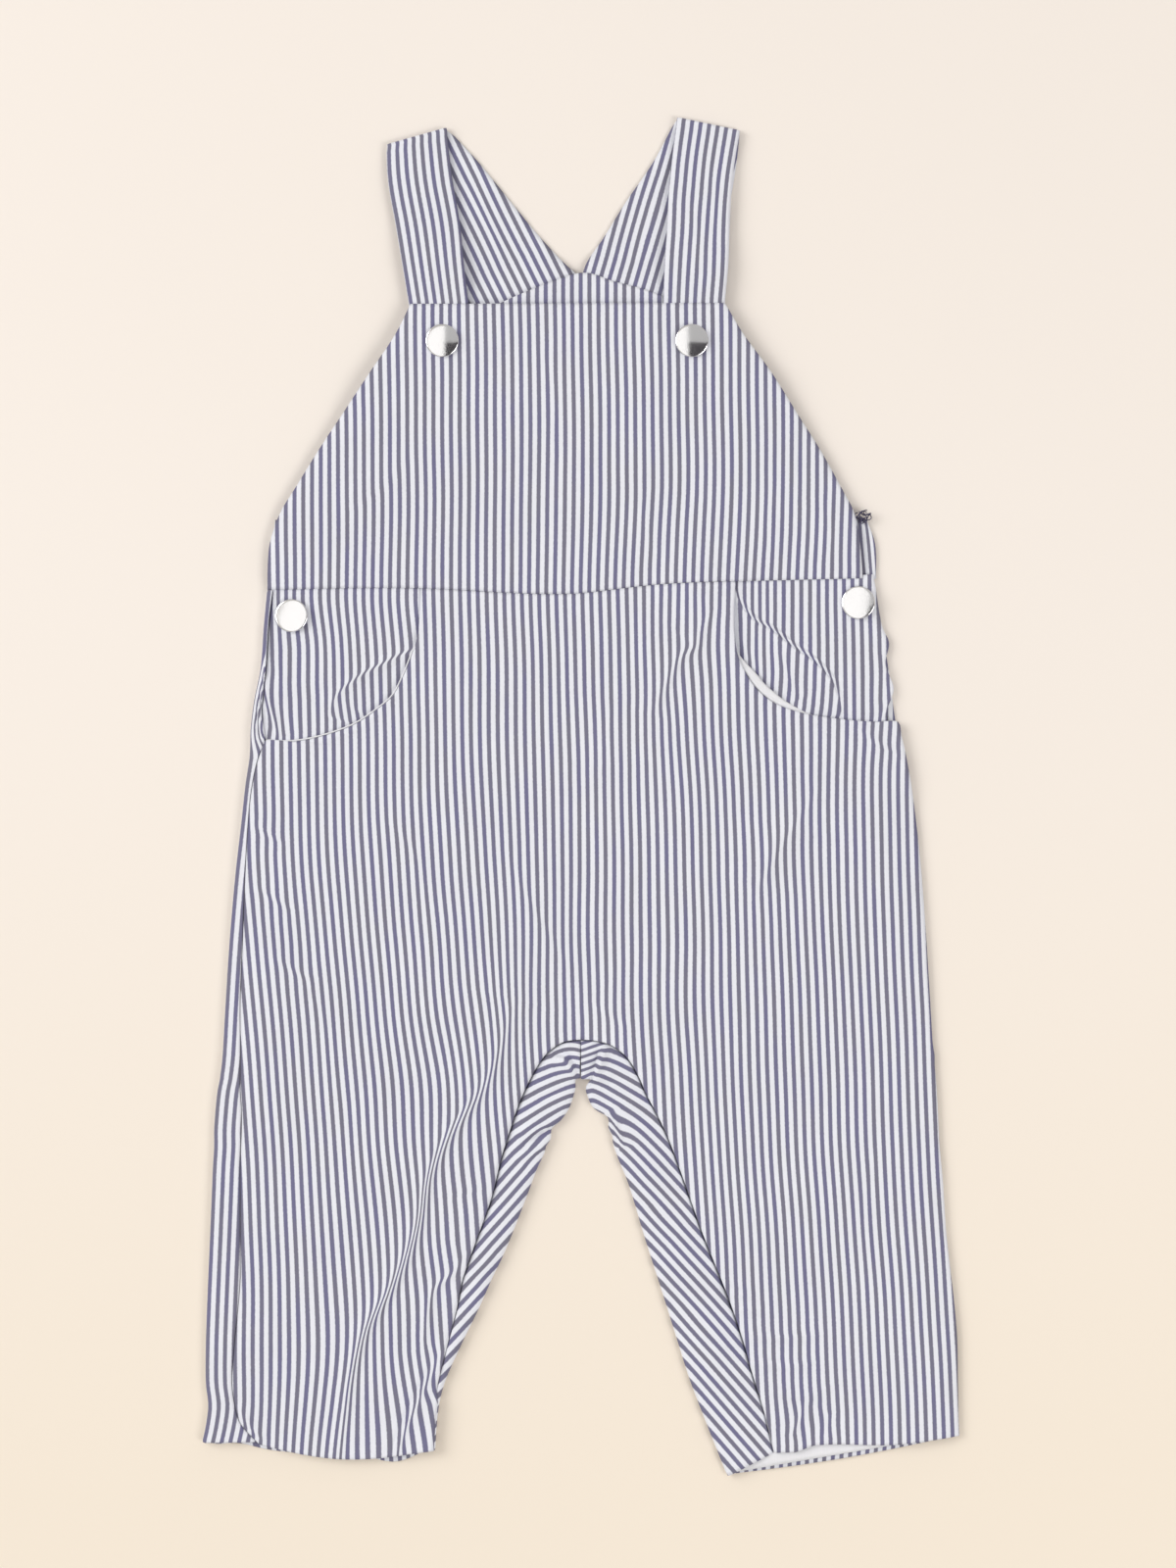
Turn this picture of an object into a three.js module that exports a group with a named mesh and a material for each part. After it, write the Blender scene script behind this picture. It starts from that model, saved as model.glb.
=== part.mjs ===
// A baby's dungarees laid flat with the front up: bib, two folded straps, curved pocket
// mouths, and trousers whose inner leg seams have rolled onto the front.
// Millimetres. +Z is up off the table, +Y points to the straps, and the origin is on
// the table under the middle. Left and right are as seen from above.

import * as THREE from "three";

// Cloth and its layers, as heights of the middle of each wall
const CLOTH = 1;
const SEAM = 0.3;
const LAYER = CLOTH + SEAM;
const FIRST = CLOTH / 2;
const SECOND = FIRST + LAYER;
const THIRD = SECOND + LAYER;
const FOURTH = THIRD + LAYER;
const FIFTH = FOURTH + LAYER;

// Rolled edges of the trousers' back and the fold at the shoulder
const ROLL_RADIUS = LAYER;
const SHOULDER_RADIUS = 0.9;
const ROLL_STEPS = 4;
const RETURN_CROWN = { rise: 0.7, fullAt: 12 };
const HALF_SEAM = 0.25;
const NARROWEST_STRIP = 2.1;

// How finely the walls are cut
const ROW_STEP = 10;
const STRAP_STEP = 9;
const FRONT_COLUMNS = 13;
const BIB_COLUMNS = 20;
const BACK_COLUMNS = 4;
const RETURN_COLUMNS = 3;
const STRIP_COLUMNS = 2;
const STRAP_COLUMNS = 3;
const POCKET_COLUMNS = 6;
const FLAT_COLUMNS = 2;

// Waist seam: a straight run with a soft dip left of the middle
const WAIST_Y = 89;
const WAIST_DIP = { x: -8, depth: 4.2, leftReach: 50, rightReach: 32, fade: 24 };

// Bib: how its cloth climbs over the straps' ends and sinks at the armholes
const BIB_CLIMB = { fromY: 112, toY: 183, rise: FIFTH - THIRD };
const BIB_DROOP = { share: 0.6, width: 20, fromY: 150, toY: 176 };

// Straps: heights on the way down to the bib and on the way to the back's peak
const STRAP_CLIMB = { fromY: 245, toY: 216 };
const BACK_PEAK = { x: -1.5, y: 221.5, leftSlope: 0.36, rightSlope: 0.28 };
const STRAP_LAND = { near: 3, far: 14 };

// Right edge of the trousers' front, where it comes down onto the back
const SIDE_DROP = { share: 0.12, depth: LAYER, fromY: 10, toY: -8 };

// Gathers of the casing across the back waist
const GATHERS = { count: 26, rise: 0.45, columnsEach: 4, rows: 2 };

// Buttons: a domed disc with a rounded rim
const BUTTON = {
  radius: 7,
  foot: 5.6,
  rimLow: 0.7,
  rimHigh: 1.2,
  shoulder: 5.9,
  brow: 2.2,
  dome: 2.3,
  sides: 24,
};

// Pocket linings that show beside the mouths
const LINING_LEFT = { widest: 0.9, least: 0.6 };
const LINING_RIGHT = { widest: 3.3, least: 0.6 };

const BIB_ROWS = table("leftX leftY rightX rightY", [
  [-72, 208.2, 61, 208.6],
  [-78, 196, 68.5, 196],
  [-89, 179.5, 80.5, 179.5],
  [-100, 163, 91, 163],
  [-111, 146.5, 101.5, 146.5],
  [-121.5, 129.5, 111, 129.5],
  [-126.5, 121.5, 115.5, 121],
  [-130, 113, 117.5, 112.5],
  [-132, 105, 118.5, 105],
  [-132.8, 88.2, 119.5, 93],
]);

// Front of the trousers above the crotch: each row runs from its left edge over the
// middle line to its right edge. The rows down to MOUTH_ROWS end on the pocket mouths.
const MOUTH_ROWS = 12;
const BODY_ROWS = table("leftX leftY midY rightX rightY", [
  [-67.5, 89, 89.9, 66, 91],
  [-68, 80.5, 80.5, 65, 81.5],
  [-69, 69, 69, 65, 69.5],
  [-71.5, 60, 60, 66.5, 60],
  [-75, 51, 52, 70, 52],
  [-79.5, 42.5, 44, 74.5, 45.5],
  [-86.5, 36.5, 37, 82, 39.5],
  [-95.5, 30.5, 31, 93, 35.5],
  [-107.5, 26, 26, 104, 33.5],
  [-118.5, 23.5, 21.5, 117, 32],
  [-127, 23, 17.5, 127, 31.5],
  [-133.5, 23.5, 14, 134.5, 31.5],
  [-135.3, 19, 10.5, 135.8, 26],
  [-137, 14, 7, 137, 21],
  [-139.5, 1, -3, 140, 5],
  [-141, -16, -19, 142.5, -14],
  [-142, -34, -36, 144.5, -34],
  [-143, -61, -61, 146.5, -61],
  [-144, -86, -86, 148, -86],
  [-144, -102, -103, 149, -103],
]);

// Left leg from the crotch to the hem: the front's side seam and inseam, the fold where
// the back rolls over the inner leg, and the outer outline. A bow lowers a row's middle.
const LEFT_LEG_ROWS = table("sideX sideY inseamX inseamY foldX foldY outX outY bow", [
  [-144, -102, 0, -103, 0, -119.5, -153, -119.5, 0],
  [-144, -107, -7, -104, -2, -120, -153.5, -122, 0],
  [-144, -112, -14, -108.5, -2.5, -123.5, -154, -124.5, 0],
  [-144, -117.5, -18.5, -114.5, -4, -127.5, -154.5, -128.5, 0],
  [-144, -124.5, -22.5, -122, -6, -133.5, -155, -134, 0],
  [-143.5, -132, -26.5, -131, -11, -141.5, -155.5, -141.5, 0],
  [-143.5, -141.5, -30, -141.5, -13.5, -148, -155.5, -148.5, 0],
  [-144, -154.5, -34, -154.5, -18, -157, -156, -157, 0],
  [-144, -169, -37.5, -169, -22.5, -169, -156.5, -169, 0],
  [-144, -193, -46, -193, -32, -193, -157.5, -193, 0],
  [-144, -204.5, -50, -204.5, -37.5, -204.5, -158, -204.5, 0],
  [-145, -217, -52.5, -217, -43, -217, -158.5, -217, 0],
  [-146.5, -232.5, -56.5, -232.5, -50.5, -232.5, -159, -232.5, 0],
  [-147.5, -248.5, -60.5, -248.5, -57.5, -248.5, -159, -248.5, 1],
  [-146.5, -257, -62.5, -258.5, -60, -258.5, -158, -258, 3],
  [-144, -265.5, -63.5, -268, -61, -268, -159, -266.5, 4],
  [-136, -274.5, -64, -277, -61.5, -277, -160.5, -273.5, 5],
]);

const RIGHT_LEG_ROWS = table("sideX sideY inseamX inseamY foldX foldY outX outY bow", [
  [149, -103, 0, -103, 0, -119.5, 149.5, -119.5, 0],
  [149.5, -107, 6, -103.5, 4.5, -120, 149.5, -122, 0],
  [150, -110, 13, -105.5, 3, -123.5, 149.5, -124.5, 0],
  [150, -114, 19.5, -110.5, 3.5, -127, 149.5, -128.5, 0],
  [150.5, -119.5, 24, -117.5, 5, -131.5, 150, -132, 0],
  [151, -127, 28, -126.5, 10, -136.5, 150.5, -137, 0],
  [151.5, -136.5, 33, -136, 12, -142.5, 151, -142.5, 0],
  [152, -147, 38, -147, 15, -151.5, 151.5, -151.5, 0],
  [153.5, -163.5, 44, -163.5, 20, -164, 153, -164, 0],
  [155, -186, 52, -186, 27, -187, 154.5, -187, 0],
  [158, -212, 62.5, -212, 35, -212, 157.5, -212, 0],
  [159.5, -229.5, 68.5, -229.5, 40.5, -229.5, 159, -229.5, 0],
  [159.8, -245.5, 73, -245.5, 45.5, -245.5, 159.2, -245.5, 0],
  [160, -260.5, 78, -261.5, 51.5, -261.5, 159.6, -260.5, 0],
  [160.4, -271, 82, -278, 62, -288, 160, -270.8, 1.5],
]);

// Trousers' back above the crotch: its outer outline, with the middle line at x = 0.
const BACK_LEFT_ROWS = table("midY outX outY", [
  [89.6, -133, 87.4],
  [71.5, -134.5, 71.5],
  [54, -135.8, 54],
  [40.5, -138.5, 40.5],
  [28, -140, 28],
  [17.5, -140.4, 17.5],
  [5, -142.2, 5],
  [-11.5, -144, -11.5],
  [-33.5, -146.5, -33.5],
  [-62.5, -149, -62.5],
  [-89, -150.7, -89],
  [-111, -152, -111],
]);

const BACK_RIGHT_ROWS = table("midY outX outY", [
  [89.6, 124.5, 91.6],
  [71.5, 127.5, 71.5],
  [51, 131, 51],
  [32, 133.5, 31.5],
  [5, 139.2, 5],
  [-19.5, 142.5, -19.5],
  [-36.5, 144, -36.5],
  [-61, 146, -61],
  [-86, 147.5, -86],
  [-103, 148.5, -103],
]);

const POCKET_LEFT_ROWS = table("leftX leftY rightX rightY", [
  [-130.3, 86.8, -60, 88.5],
  [-132, 73, -60, 72],
  [-133, 57, -63, 53],
  [-134, 45, -70, 38],
  [-135, 36, -79, 30],
  [-134.5, 28, -91, 23],
  [-132, 20, -107, 17.5],
  [-129, 15.5, -117, 14.5],
]);

const POCKET_RIGHT_ROWS = table("leftX leftY rightX rightY", [
  [58, 89.5, 124, 92],
  [57, 75.5, 127, 75.5],
  [58.5, 58, 130, 62],
  [64, 44, 131, 50],
  [75, 33, 131, 40],
  [92, 26, 131, 33],
  [111, 23, 130, 26],
]);

// Straps: the front stretch from its end under the bib to the fold at the shoulder,
// then the back stretch from that fold to its sewn end under the back's facing.
const STRAP_LEFT_FRONT = table("leftX leftY rightX rightY", [
  [-68.5, 181.5, -44, 183],
  [-71, 198, -46.5, 199],
  [-73, 210, -47.7, 210.5],
  [-75.5, 225, -49.5, 226],
  [-78.3, 241.5, -51, 241.5],
  [-81.7, 261.5, -54.5, 262.5],
  [-82.3, 276.5, -57, 283.6],
]);

const STRAP_LEFT_BACK = table("leftX leftY rightX rightY", [
  [-82.3, 276.5, -57, 283.6],
  [-79.5, 262.5, -43.5, 269],
  [-75, 248, -30, 252.5],
  [-69.5, 231.5, -18.5, 238.5],
  [-65, 219, -7, 226],
  [-61, 208.5, -0.4, 219],
  [-58.5, 200, -0.4, 208.5],
]);

const STRAP_RIGHT_FRONT = table("leftX leftY rightX rightY", [
  [35.5, 181.5, 60.5, 180.5],
  [35, 198, 60.5, 197.5],
  [35, 210, 61, 208.5],
  [35.5, 226, 62.5, 226],
  [36.5, 239.5, 63, 239.5],
  [37.5, 258.5, 64, 258.5],
  [39, 273, 65.5, 270.5],
  [41, 288, 67.6, 282.4],
]);

const STRAP_RIGHT_BACK = table("leftX leftY rightX rightY", [
  [41, 288, 67.6, 282.4],
  [30.5, 268.5, 65.5, 264.5],
  [19.5, 252.5, 62.5, 248],
  [9.5, 236.5, 59, 231.5],
  [2.5, 226, 56, 217],
  [0.4, 219, 53.5, 208.5],
  [0.4, 208.5, 51.5, 200],
]);

const BACK_BIB_ROWS = table("leftX leftY rightX rightY", [
  [-7, 219.5, 6, 220.5],
  [-21, 214.5, 24, 215],
  [-33.5, 209.5, 38, 210.5],
  [-63.5, 199, 61, 200],
  [-86, 179.5, 77, 180.5],
  [-107.5, 146.5, 97.5, 147],
  [-121.5, 125.5, 112, 127.5],
  [-125.5, 117.8, 115.5, 118.2],
]);

// Facing inside the back's peak, from left to right
const FACING_STATIONS = table("topX topY lowX lowY", [
  [-46, 203, -46, 196],
  [-30.5, 210.5, -30.5, 196],
  [-17.5, 216, -17.5, 196],
  [-6.5, 220, -6.5, 196],
  [-1.5, 221.5, -1.5, 196],
  [4.5, 221.4, 4.5, 196],
  [13.5, 218.2, 13.5, 196],
  [24.5, 215.4, 24.5, 196],
  [36, 211.5, 36, 196],
]);

const CASING_ROWS = table("leftX leftY rightX rightY", [
  [-129.5, 117.2, 121.2, 117.5],
  [-131, 105, 124.8, 107],
  [-131.5, 87.8, 125.2, 92.2],
]);

const LEG_LINING_ROWS = table("leftX leftY rightX rightY", [
  [68.5, -260, 142, -260],
  [67, -285, 143, -272.2],
]);

// Largest folds of the trousers' front: a soft ridge from one end over a bend to the other
const FRONT_FOLDS = table("fromX fromY viaX viaY toX toY rise reach", [
  [-15, -60, -61, -152, -99, -258, 2, 8],
  [-48, -188, -61, -208, -66, -226, 1.2, 6],
  [-62, -238, -71, -258, -78, -278, 1.4, 6],
  [57, 80, 41, 54, 28, 22, 1.2, 7],
  [102, 5, 86, -19, 71, -48, 0.9, 8],
  [-32, -24, -18, -50, -4, -74, 0.8, 8],
  [50, -205, 74, -212, 98, -214, 0.6, 6],
]);

const POCKET_FOLDS = table("fromX fromY viaX viaY toX toY rise reach", [
  [-84, 61, -99, 47.5, -101, 34, 1, 5],
  [72, 83, 93, 62, 110, 38, 1.1, 4.5],
]);

const CLOTH_COLOUR = 0xb3b4c9;
const LINING_COLOUR = 0xf2f0f1;
const METAL_COLOUR = 0xd9d9dc;

// Rows of numbers as objects with the named columns
function table(columns, rows) {
  const names = columns.split(" ");
  return rows.map((row) => Object.fromEntries(names.map((name, k) => [name, row[k]])));
}

// Smooth edge through two named columns of a table
function edge(rows, xName, yName) {
  const points = rows.map((row) => new THREE.Vector3(row[xName], row[yName], 0));
  return new THREE.CatmullRomCurve3(points, false, "centripetal");
}

// Places from 0 to 1 along a table, with steps no longer than asked on any of its edges
function stations(edges, step) {
  const gaps = edges[0].points.length - 1;
  const places = [0];
  for (let gap = 0; gap < gaps; gap += 1) {
    const spans = edges.map((curve) => curve.points[gap].distanceTo(curve.points[gap + 1]));
    const cuts = Math.max(1, Math.round(Math.max(...spans) / step));
    for (let cut = 1; cut <= cuts; cut += 1) {
      places.push((gap + cut / cuts) / gaps);
    }
  }
  return places;
}

// Depth of the waist seam's dip at a point, fading above and below the seam
function waistDip(x, y) {
  const reach = x < WAIST_DIP.x ? WAIST_DIP.leftReach : WAIST_DIP.rightReach;
  const across = Math.exp(-(((x - WAIST_DIP.x) / reach) ** 2));
  const along = Math.exp(-(((y - WAIST_Y) / WAIST_DIP.fade) ** 2));
  return WAIST_DIP.depth * across * along;
}

// Height of a ridge over the line from-via-to at a point, falling to nothing at its ends
function ridge(fold, x, y) {
  const spot = new THREE.Vector2(x, y);
  const stops = [
    new THREE.Vector2(fold.fromX, fold.fromY),
    new THREE.Vector2(fold.viaX, fold.viaY),
    new THREE.Vector2(fold.toX, fold.toY),
  ];
  const total = stops[0].distanceTo(stops[1]) + stops[1].distanceTo(stops[2]);
  let nearest = Infinity;
  let place = 0;
  let passed = 0;
  for (let k = 0; k < 2; k += 1) {
    const run = stops[k + 1].clone().sub(stops[k]);
    const share = THREE.MathUtils.clamp(spot.clone().sub(stops[k]).dot(run) / run.lengthSq(), 0, 1);
    const distance = stops[k].clone().addScaledVector(run, share).distanceTo(spot);
    if (distance < nearest) {
      nearest = distance;
      place = (passed + share * run.length()) / total;
    }
    passed += run.length();
  }
  return fold.rise * Math.sin(Math.PI * place) ** 0.8 * Math.exp(-((nearest / fold.reach) ** 2));
}

function ridges(folds, x, y) {
  return folds.reduce((sum, fold) => sum + ridge(fold, x, y), 0);
}

// Grid of points: a row at each place, straight from its first edge to its second, then
// moved down the page by the sag and given a height, both from x, y, share across, place
function panel(places, first, second, columns, height, sag = () => 0) {
  return places.map((place) => {
    const start = first.getPoint(place);
    const end = second.getPoint(place);
    const row = [];
    for (let column = 0; column <= columns; column += 1) {
      const share = column / columns;
      const spot = start.clone().lerp(end, share);
      spot.y -= sag(spot.x, spot.y, share, place);
      spot.z = height(spot.x, spot.y, share);
      row.push(spot);
    }
    return row;
  });
}

// Points shared by all the grids of one sheet, and the quads between them
function weld(grids) {
  const points = [];
  const known = new Map();
  const quads = [];
  const numberOf = (point) => {
    const key = point.toArray().map((value) => Math.round(value * 1000)).join();
    if (!known.has(key)) {
      known.set(key, points.length);
      points.push(point);
    }
    return known.get(key);
  };
  for (const grid of grids) {
    const numbers = grid.map((row) => row.map(numberOf));
    for (let i = 1; i < numbers.length; i += 1) {
      for (let j = 1; j < numbers[i].length; j += 1) {
        quads.push([numbers[i - 1][j - 1], numbers[i - 1][j], numbers[i][j], numbers[i][j - 1]]);
      }
    }
  }
  return { points, quads };
}

// Outward direction at each point, from the quads around it
function directions(points, quads) {
  const sums = points.map(() => new THREE.Vector3());
  for (const [a, b, c, d] of quads) {
    const one = points[c].clone().sub(points[a]);
    const other = points[d].clone().sub(points[b]);
    const normal = one.cross(other);
    [a, b, c, d].forEach((corner) => sums[corner].add(normal));
  }
  return sums.map((sum) => sum.normalize());
}

// Closed wall: an upper and a lower copy of the sheet's points, joined along its border
function closedWall(upper, lower, quads) {
  const count = upper.length;
  const faces = [];
  const border = new Map();
  for (const quad of quads) {
    const [a, b, c, d] = quad;
    faces.push([a, b, c], [a, c, d]);
    faces.push([a + count, c + count, b + count], [a + count, d + count, c + count]);
    quad.forEach((start, k) => {
      const end = quad[(k + 1) % 4];
      if (start === end) {
        return;
      }
      const back = `${end}-${start}`;
      if (border.has(back)) {
        border.delete(back);
      } else {
        border.set(`${start}-${end}`, [start, end]);
      }
    });
  }
  for (const [start, end] of border.values()) {
    faces.push([end, start, start + count], [end, start + count, end + count]);
  }
  const spots = [...upper, ...lower];
  const whole = faces.filter(([a, b, c]) => a !== b && b !== c && c !== a);
  const wedge = ([a, b, c]) => spots[a].dot(spots[b].clone().cross(spots[c]));
  const volume = whole.reduce((sum, face) => sum + wedge(face), 0);
  const outward = volume > 0 ? whole : whole.map(([a, b, c]) => [a, c, b]);
  const geometry = new THREE.BufferGeometry();
  const numbers = spots.flatMap((spot) => spot.toArray());
  geometry.setAttribute("position", new THREE.Float32BufferAttribute(numbers, 3));
  geometry.setIndex(outward.flat());
  geometry.computeVertexNormals();
  return geometry;
}

// Cloth of even thickness about its middle surface
function cloth(grids) {
  const { points, quads } = weld(grids);
  const outward = directions(points, quads);
  const upper = points.map((point, k) => point.clone().addScaledVector(outward[k], CLOTH / 2));
  const lower = points.map((point, k) => point.clone().addScaledVector(outward[k], -CLOTH / 2));
  return closedWall(upper, lower, quads);
}

// Cloth with a flat underside on the table, gathered on its upper side
function gathered(grids, top) {
  const { points, quads } = weld(grids);
  const upper = points.map((point) => new THREE.Vector3(point.x, point.y, top(point.x)));
  const lower = points.map((point) => new THREE.Vector3(point.x, point.y, 0));
  return closedWall(upper, lower, quads);
}

// Points from the top of a rolled edge round to its bottom. The roll's outside touches
// the outline point, and inward is the level direction from there into the cloth.
function roll(outline, inward, radius) {
  const centre = outline.clone().addScaledVector(inward, radius + CLOTH / 2);
  const points = [];
  for (let step = 0; step <= ROLL_STEPS; step += 1) {
    const angle = Math.PI / 2 - (Math.PI * step) / ROLL_STEPS;
    const spot = centre.clone().addScaledVector(inward, -radius * Math.cos(angle));
    spot.z = FIRST + radius + radius * Math.sin(angle);
    points.push(spot);
  }
  return points;
}

// Straight run between two points, without its first point, with a crown in its middle
function run(start, end, columns, crown = 0) {
  const points = [];
  for (let column = 1; column <= columns; column += 1) {
    const share = column / columns;
    const spot = start.clone().lerp(end, share);
    spot.z += crown * Math.sin(Math.PI * share);
    points.push(spot);
  }
  return points;
}

// X of a falling edge where it passes a height y
function edgeX(curve, y) {
  let above = 0;
  let below = 1;
  for (let step = 0; step < 30; step += 1) {
    const middle = (above + below) / 2;
    if (curve.getPoint(middle).y > y) {
      above = middle;
    } else {
      below = middle;
    }
  }
  return curve.getPoint(above).x;
}

function bibHeight(x, y, share) {
  const climb = THREE.MathUtils.smoothstep(y, BIB_CLIMB.fromY, BIB_CLIMB.toY);
  const width = edgeX(bibRight, y) - edgeX(bibLeft, y);
  const inward = Math.min(share, 1 - share) * width;
  const open = 1 - THREE.MathUtils.smoothstep(inward, 0, BIB_DROOP.width);
  const below = 1 - THREE.MathUtils.smoothstep(y, BIB_DROOP.fromY, BIB_DROOP.toY);
  return THIRD + BIB_CLIMB.rise * climb * (1 - BIB_DROOP.share * open * below);
}

function frontHeight(x, y, share) {
  const low = 1 - THREE.MathUtils.smoothstep(y, SIDE_DROP.toY, SIDE_DROP.fromY);
  const near = x > 0 ? 1 - THREE.MathUtils.smoothstep(share, 0, SIDE_DROP.share) : 0;
  return THIRD + ridges(FRONT_FOLDS, x, y) - SIDE_DROP.depth * near * low;
}

function pocketHeight(x, y) {
  return SECOND + ridges(POCKET_FOLDS, x, y);
}

function strapFrontHeight(x, y) {
  const climb = 1 - THREE.MathUtils.smoothstep(y, STRAP_CLIMB.toY, STRAP_CLIMB.fromY);
  const low = FIRST + 2 * SHOULDER_RADIUS;
  return THREE.MathUtils.lerp(low, FOURTH, climb);
}

function strapBackHeight(x, y) {
  const slope = x < BACK_PEAK.x ? BACK_PEAK.leftSlope : BACK_PEAK.rightSlope;
  const edgeY = BACK_PEAK.y - slope * Math.abs(x - BACK_PEAK.x);
  const away = THREE.MathUtils.smoothstep(y - edgeY, STRAP_LAND.near, STRAP_LAND.far);
  return THREE.MathUtils.lerp(SECOND, FIRST, away);
}

const bibLeft = edge(BIB_ROWS, "leftX", "leftY");
const bibRight = edge(BIB_ROWS, "rightX", "rightY");

function makeBib() {
  const places = stations([bibLeft, bibRight], ROW_STEP);
  return cloth([panel(places, bibLeft, bibRight, BIB_COLUMNS, bibHeight, waistDip)]);
}

function makeFrontTrousers() {
  const bodyLeft = edge(BODY_ROWS, "leftX", "leftY");
  const bodyRight = edge(BODY_ROWS, "rightX", "rightY");
  const middle = edge(BODY_ROWS.map((row) => ({ x: 0, y: row.midY })), "x", "y");
  const bodyPlaces = stations([bodyLeft, middle, bodyRight], ROW_STEP);
  const grids = [
    panel(bodyPlaces, bodyLeft, middle, FRONT_COLUMNS, frontHeight, waistDip),
    panel(bodyPlaces, bodyRight, middle, FRONT_COLUMNS, frontHeight, waistDip).map((row) => row.reverse()),
  ];
  for (const [rows, turned] of [[LEFT_LEG_ROWS, false], [RIGHT_LEG_ROWS, true]]) {
    const side = edge(rows, "sideX", "sideY");
    const inseam = edge(rows, "inseamX", "inseamY");
    const bows = bowEdge(rows);
    const places = stations([side, inseam], ROW_STEP);
    const bow = (x, y, share, place) => bows.getPoint(place).y * Math.sin(Math.PI * share);
    const leg = panel(places, side, inseam, FRONT_COLUMNS, frontHeight, bow);
    grids.push(turned ? leg.map((row) => row.reverse()) : leg);
  }
  return cloth(grids);
}

// Bow of each row of a leg, read as the y of a curve
function bowEdge(rows) {
  return edge(rows.map((row, place) => ({ place, bow: row.bow })), "place", "bow");
}

// One half of the trousers' back. Above the crotch it lies flat from the middle seam to
// the outline. Below, it also rolls over the inner leg and comes back to the inseam.
// The left half rolls round the outline too, up to the front's side seam.
function makeBackHalf(bodyTable, legTable, sign, rollsOutside) {
  const fold = edge(legTable, "foldX", "foldY");
  const inseam = edge(legTable, "inseamX", "inseamY");
  const legOut = edge(legTable, "outX", "outY");
  const legPlaces = stations([inseam, legOut], ROW_STEP);
  const bows = bowEdge(legTable);
  const frontSide = sideSeam();
  const turnedIn = (curve, place) => {
    const tangent = curve.getTangent(place);
    return new THREE.Vector3(-sign * tangent.y, sign * tangent.x, 0);
  };
  const outer = (outline, inward) => {
    const seamX = edgeX(frontSide, outline.y) - SEAM;
    const reach = Math.max(seamX, outline.x + NARROWEST_STRIP);
    const points = roll(outline, inward, ROLL_RADIUS).reverse();
    const end = new THREE.Vector3(reach, outline.y, THIRD);
    return [...points, ...run(points.at(-1), end, STRIP_COLUMNS)];
  };
  const flat = (start, outline, inward) => {
    const tail = rollsOutside ? outer(outline, inward) : [new THREE.Vector3(outline.x, outline.y, FIRST)];
    return [start, ...run(start, tail[0], BACK_COLUMNS), ...tail.slice(1)];
  };
  const legRows = legPlaces.map((place) => {
    const around = roll(fold.getPoint(place), turnedIn(fold, place), ROLL_RADIUS);
    around.forEach((spot) => {
      spot.x = sign * Math.max(sign * spot.x, HALF_SEAM);
    });
    const seam = inseam.getPoint(place);
    const level = new THREE.Vector3(around[0].x, around[0].y, 0).sub(seam).normalize();
    seam.addScaledVector(level, SEAM);
    seam.x = sign * Math.max(sign * seam.x, HALF_SEAM);
    seam.z = THIRD;
    const crown = RETURN_CROWN.rise * Math.min(1, seam.distanceTo(around[0]) / RETURN_CROWN.fullAt);
    const onTop = [seam, ...run(seam, around[0], RETURN_COLUMNS, crown)];
    const under = flat(around.at(-1), legOut.getPoint(place), turnedIn(legOut, place).negate());
    const bow = bows.getPoint(place).y;
    under.forEach((spot, k) => {
      spot.y -= k === 0 ? 0 : bow * Math.sin(Math.PI * Math.min(1, k / BACK_COLUMNS));
    });
    return { above: [...onTop, ...around.slice(1)], under };
  });
  const bodyOut = edge([...bodyTable, { outX: legTable[0].outX, outY: legTable[0].outY }], "outX", "outY");
  const lowest = legRows[0].under[0];
  const middleRows = bodyTable.map((row) => ({ x: sign * HALF_SEAM, y: row.midY }));
  const middle = edge([...middleRows, lowest], "x", "y");
  const bodyPlaces = stations([middle, bodyOut], ROW_STEP);
  const bodyRows = bodyPlaces.slice(0, -1).map((place) => {
    const start = middle.getPoint(place).setZ(FIRST);
    return flat(start, bodyOut.getPoint(place), turnedIn(bodyOut, place).negate());
  });
  const bottom = [...bodyRows, ...legRows.map((row) => row.under)];
  return cloth([bottom, legRows.map((row) => row.above)]);
}

// Left side seam of the trousers' front, from the waist down to the hem
function sideSeam() {
  const pocket = POCKET_LEFT_ROWS.slice(0, 5).map((row) => ({ x: row.leftX, y: row.leftY }));
  const body = BODY_ROWS.slice(MOUTH_ROWS - 1, -1).map((row) => ({ x: row.leftX, y: row.leftY }));
  const leg = LEFT_LEG_ROWS.map((row) => ({ x: row.sideX, y: row.sideY }));
  return edge([...pocket, ...body, ...leg], "x", "y");
}

function makePocketSide(rows) {
  const left = edge(rows, "leftX", "leftY");
  const right = edge(rows, "rightX", "rightY");
  const places = stations([left, right], ROW_STEP);
  return cloth([panel(places, left, right, POCKET_COLUMNS, pocketHeight, waistDip)]);
}

// Crescent of lining beside a pocket mouth, widest near the middle of the mouth
function makePocketLining(sideName, sign, width) {
  const mouth = edge(BODY_ROWS.slice(0, MOUTH_ROWS), `${sideName}X`, `${sideName}Y`);
  const grid = stations([mouth], ROW_STEP).map((place) => {
    const spot = mouth.getPoint(place);
    spot.y -= waistDip(spot.x, spot.y);
    const tangent = mouth.getTangent(place);
    const outward = new THREE.Vector3(-sign * tangent.y, sign * tangent.x, 0);
    const wide = THREE.MathUtils.lerp(width.least, width.widest, Math.sin(Math.PI * place) ** 2);
    const near = spot.clone().addScaledVector(outward, SEAM).setZ(THIRD);
    return [near, near.clone().addScaledVector(outward, wide)];
  });
  return cloth([grid]);
}

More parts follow.
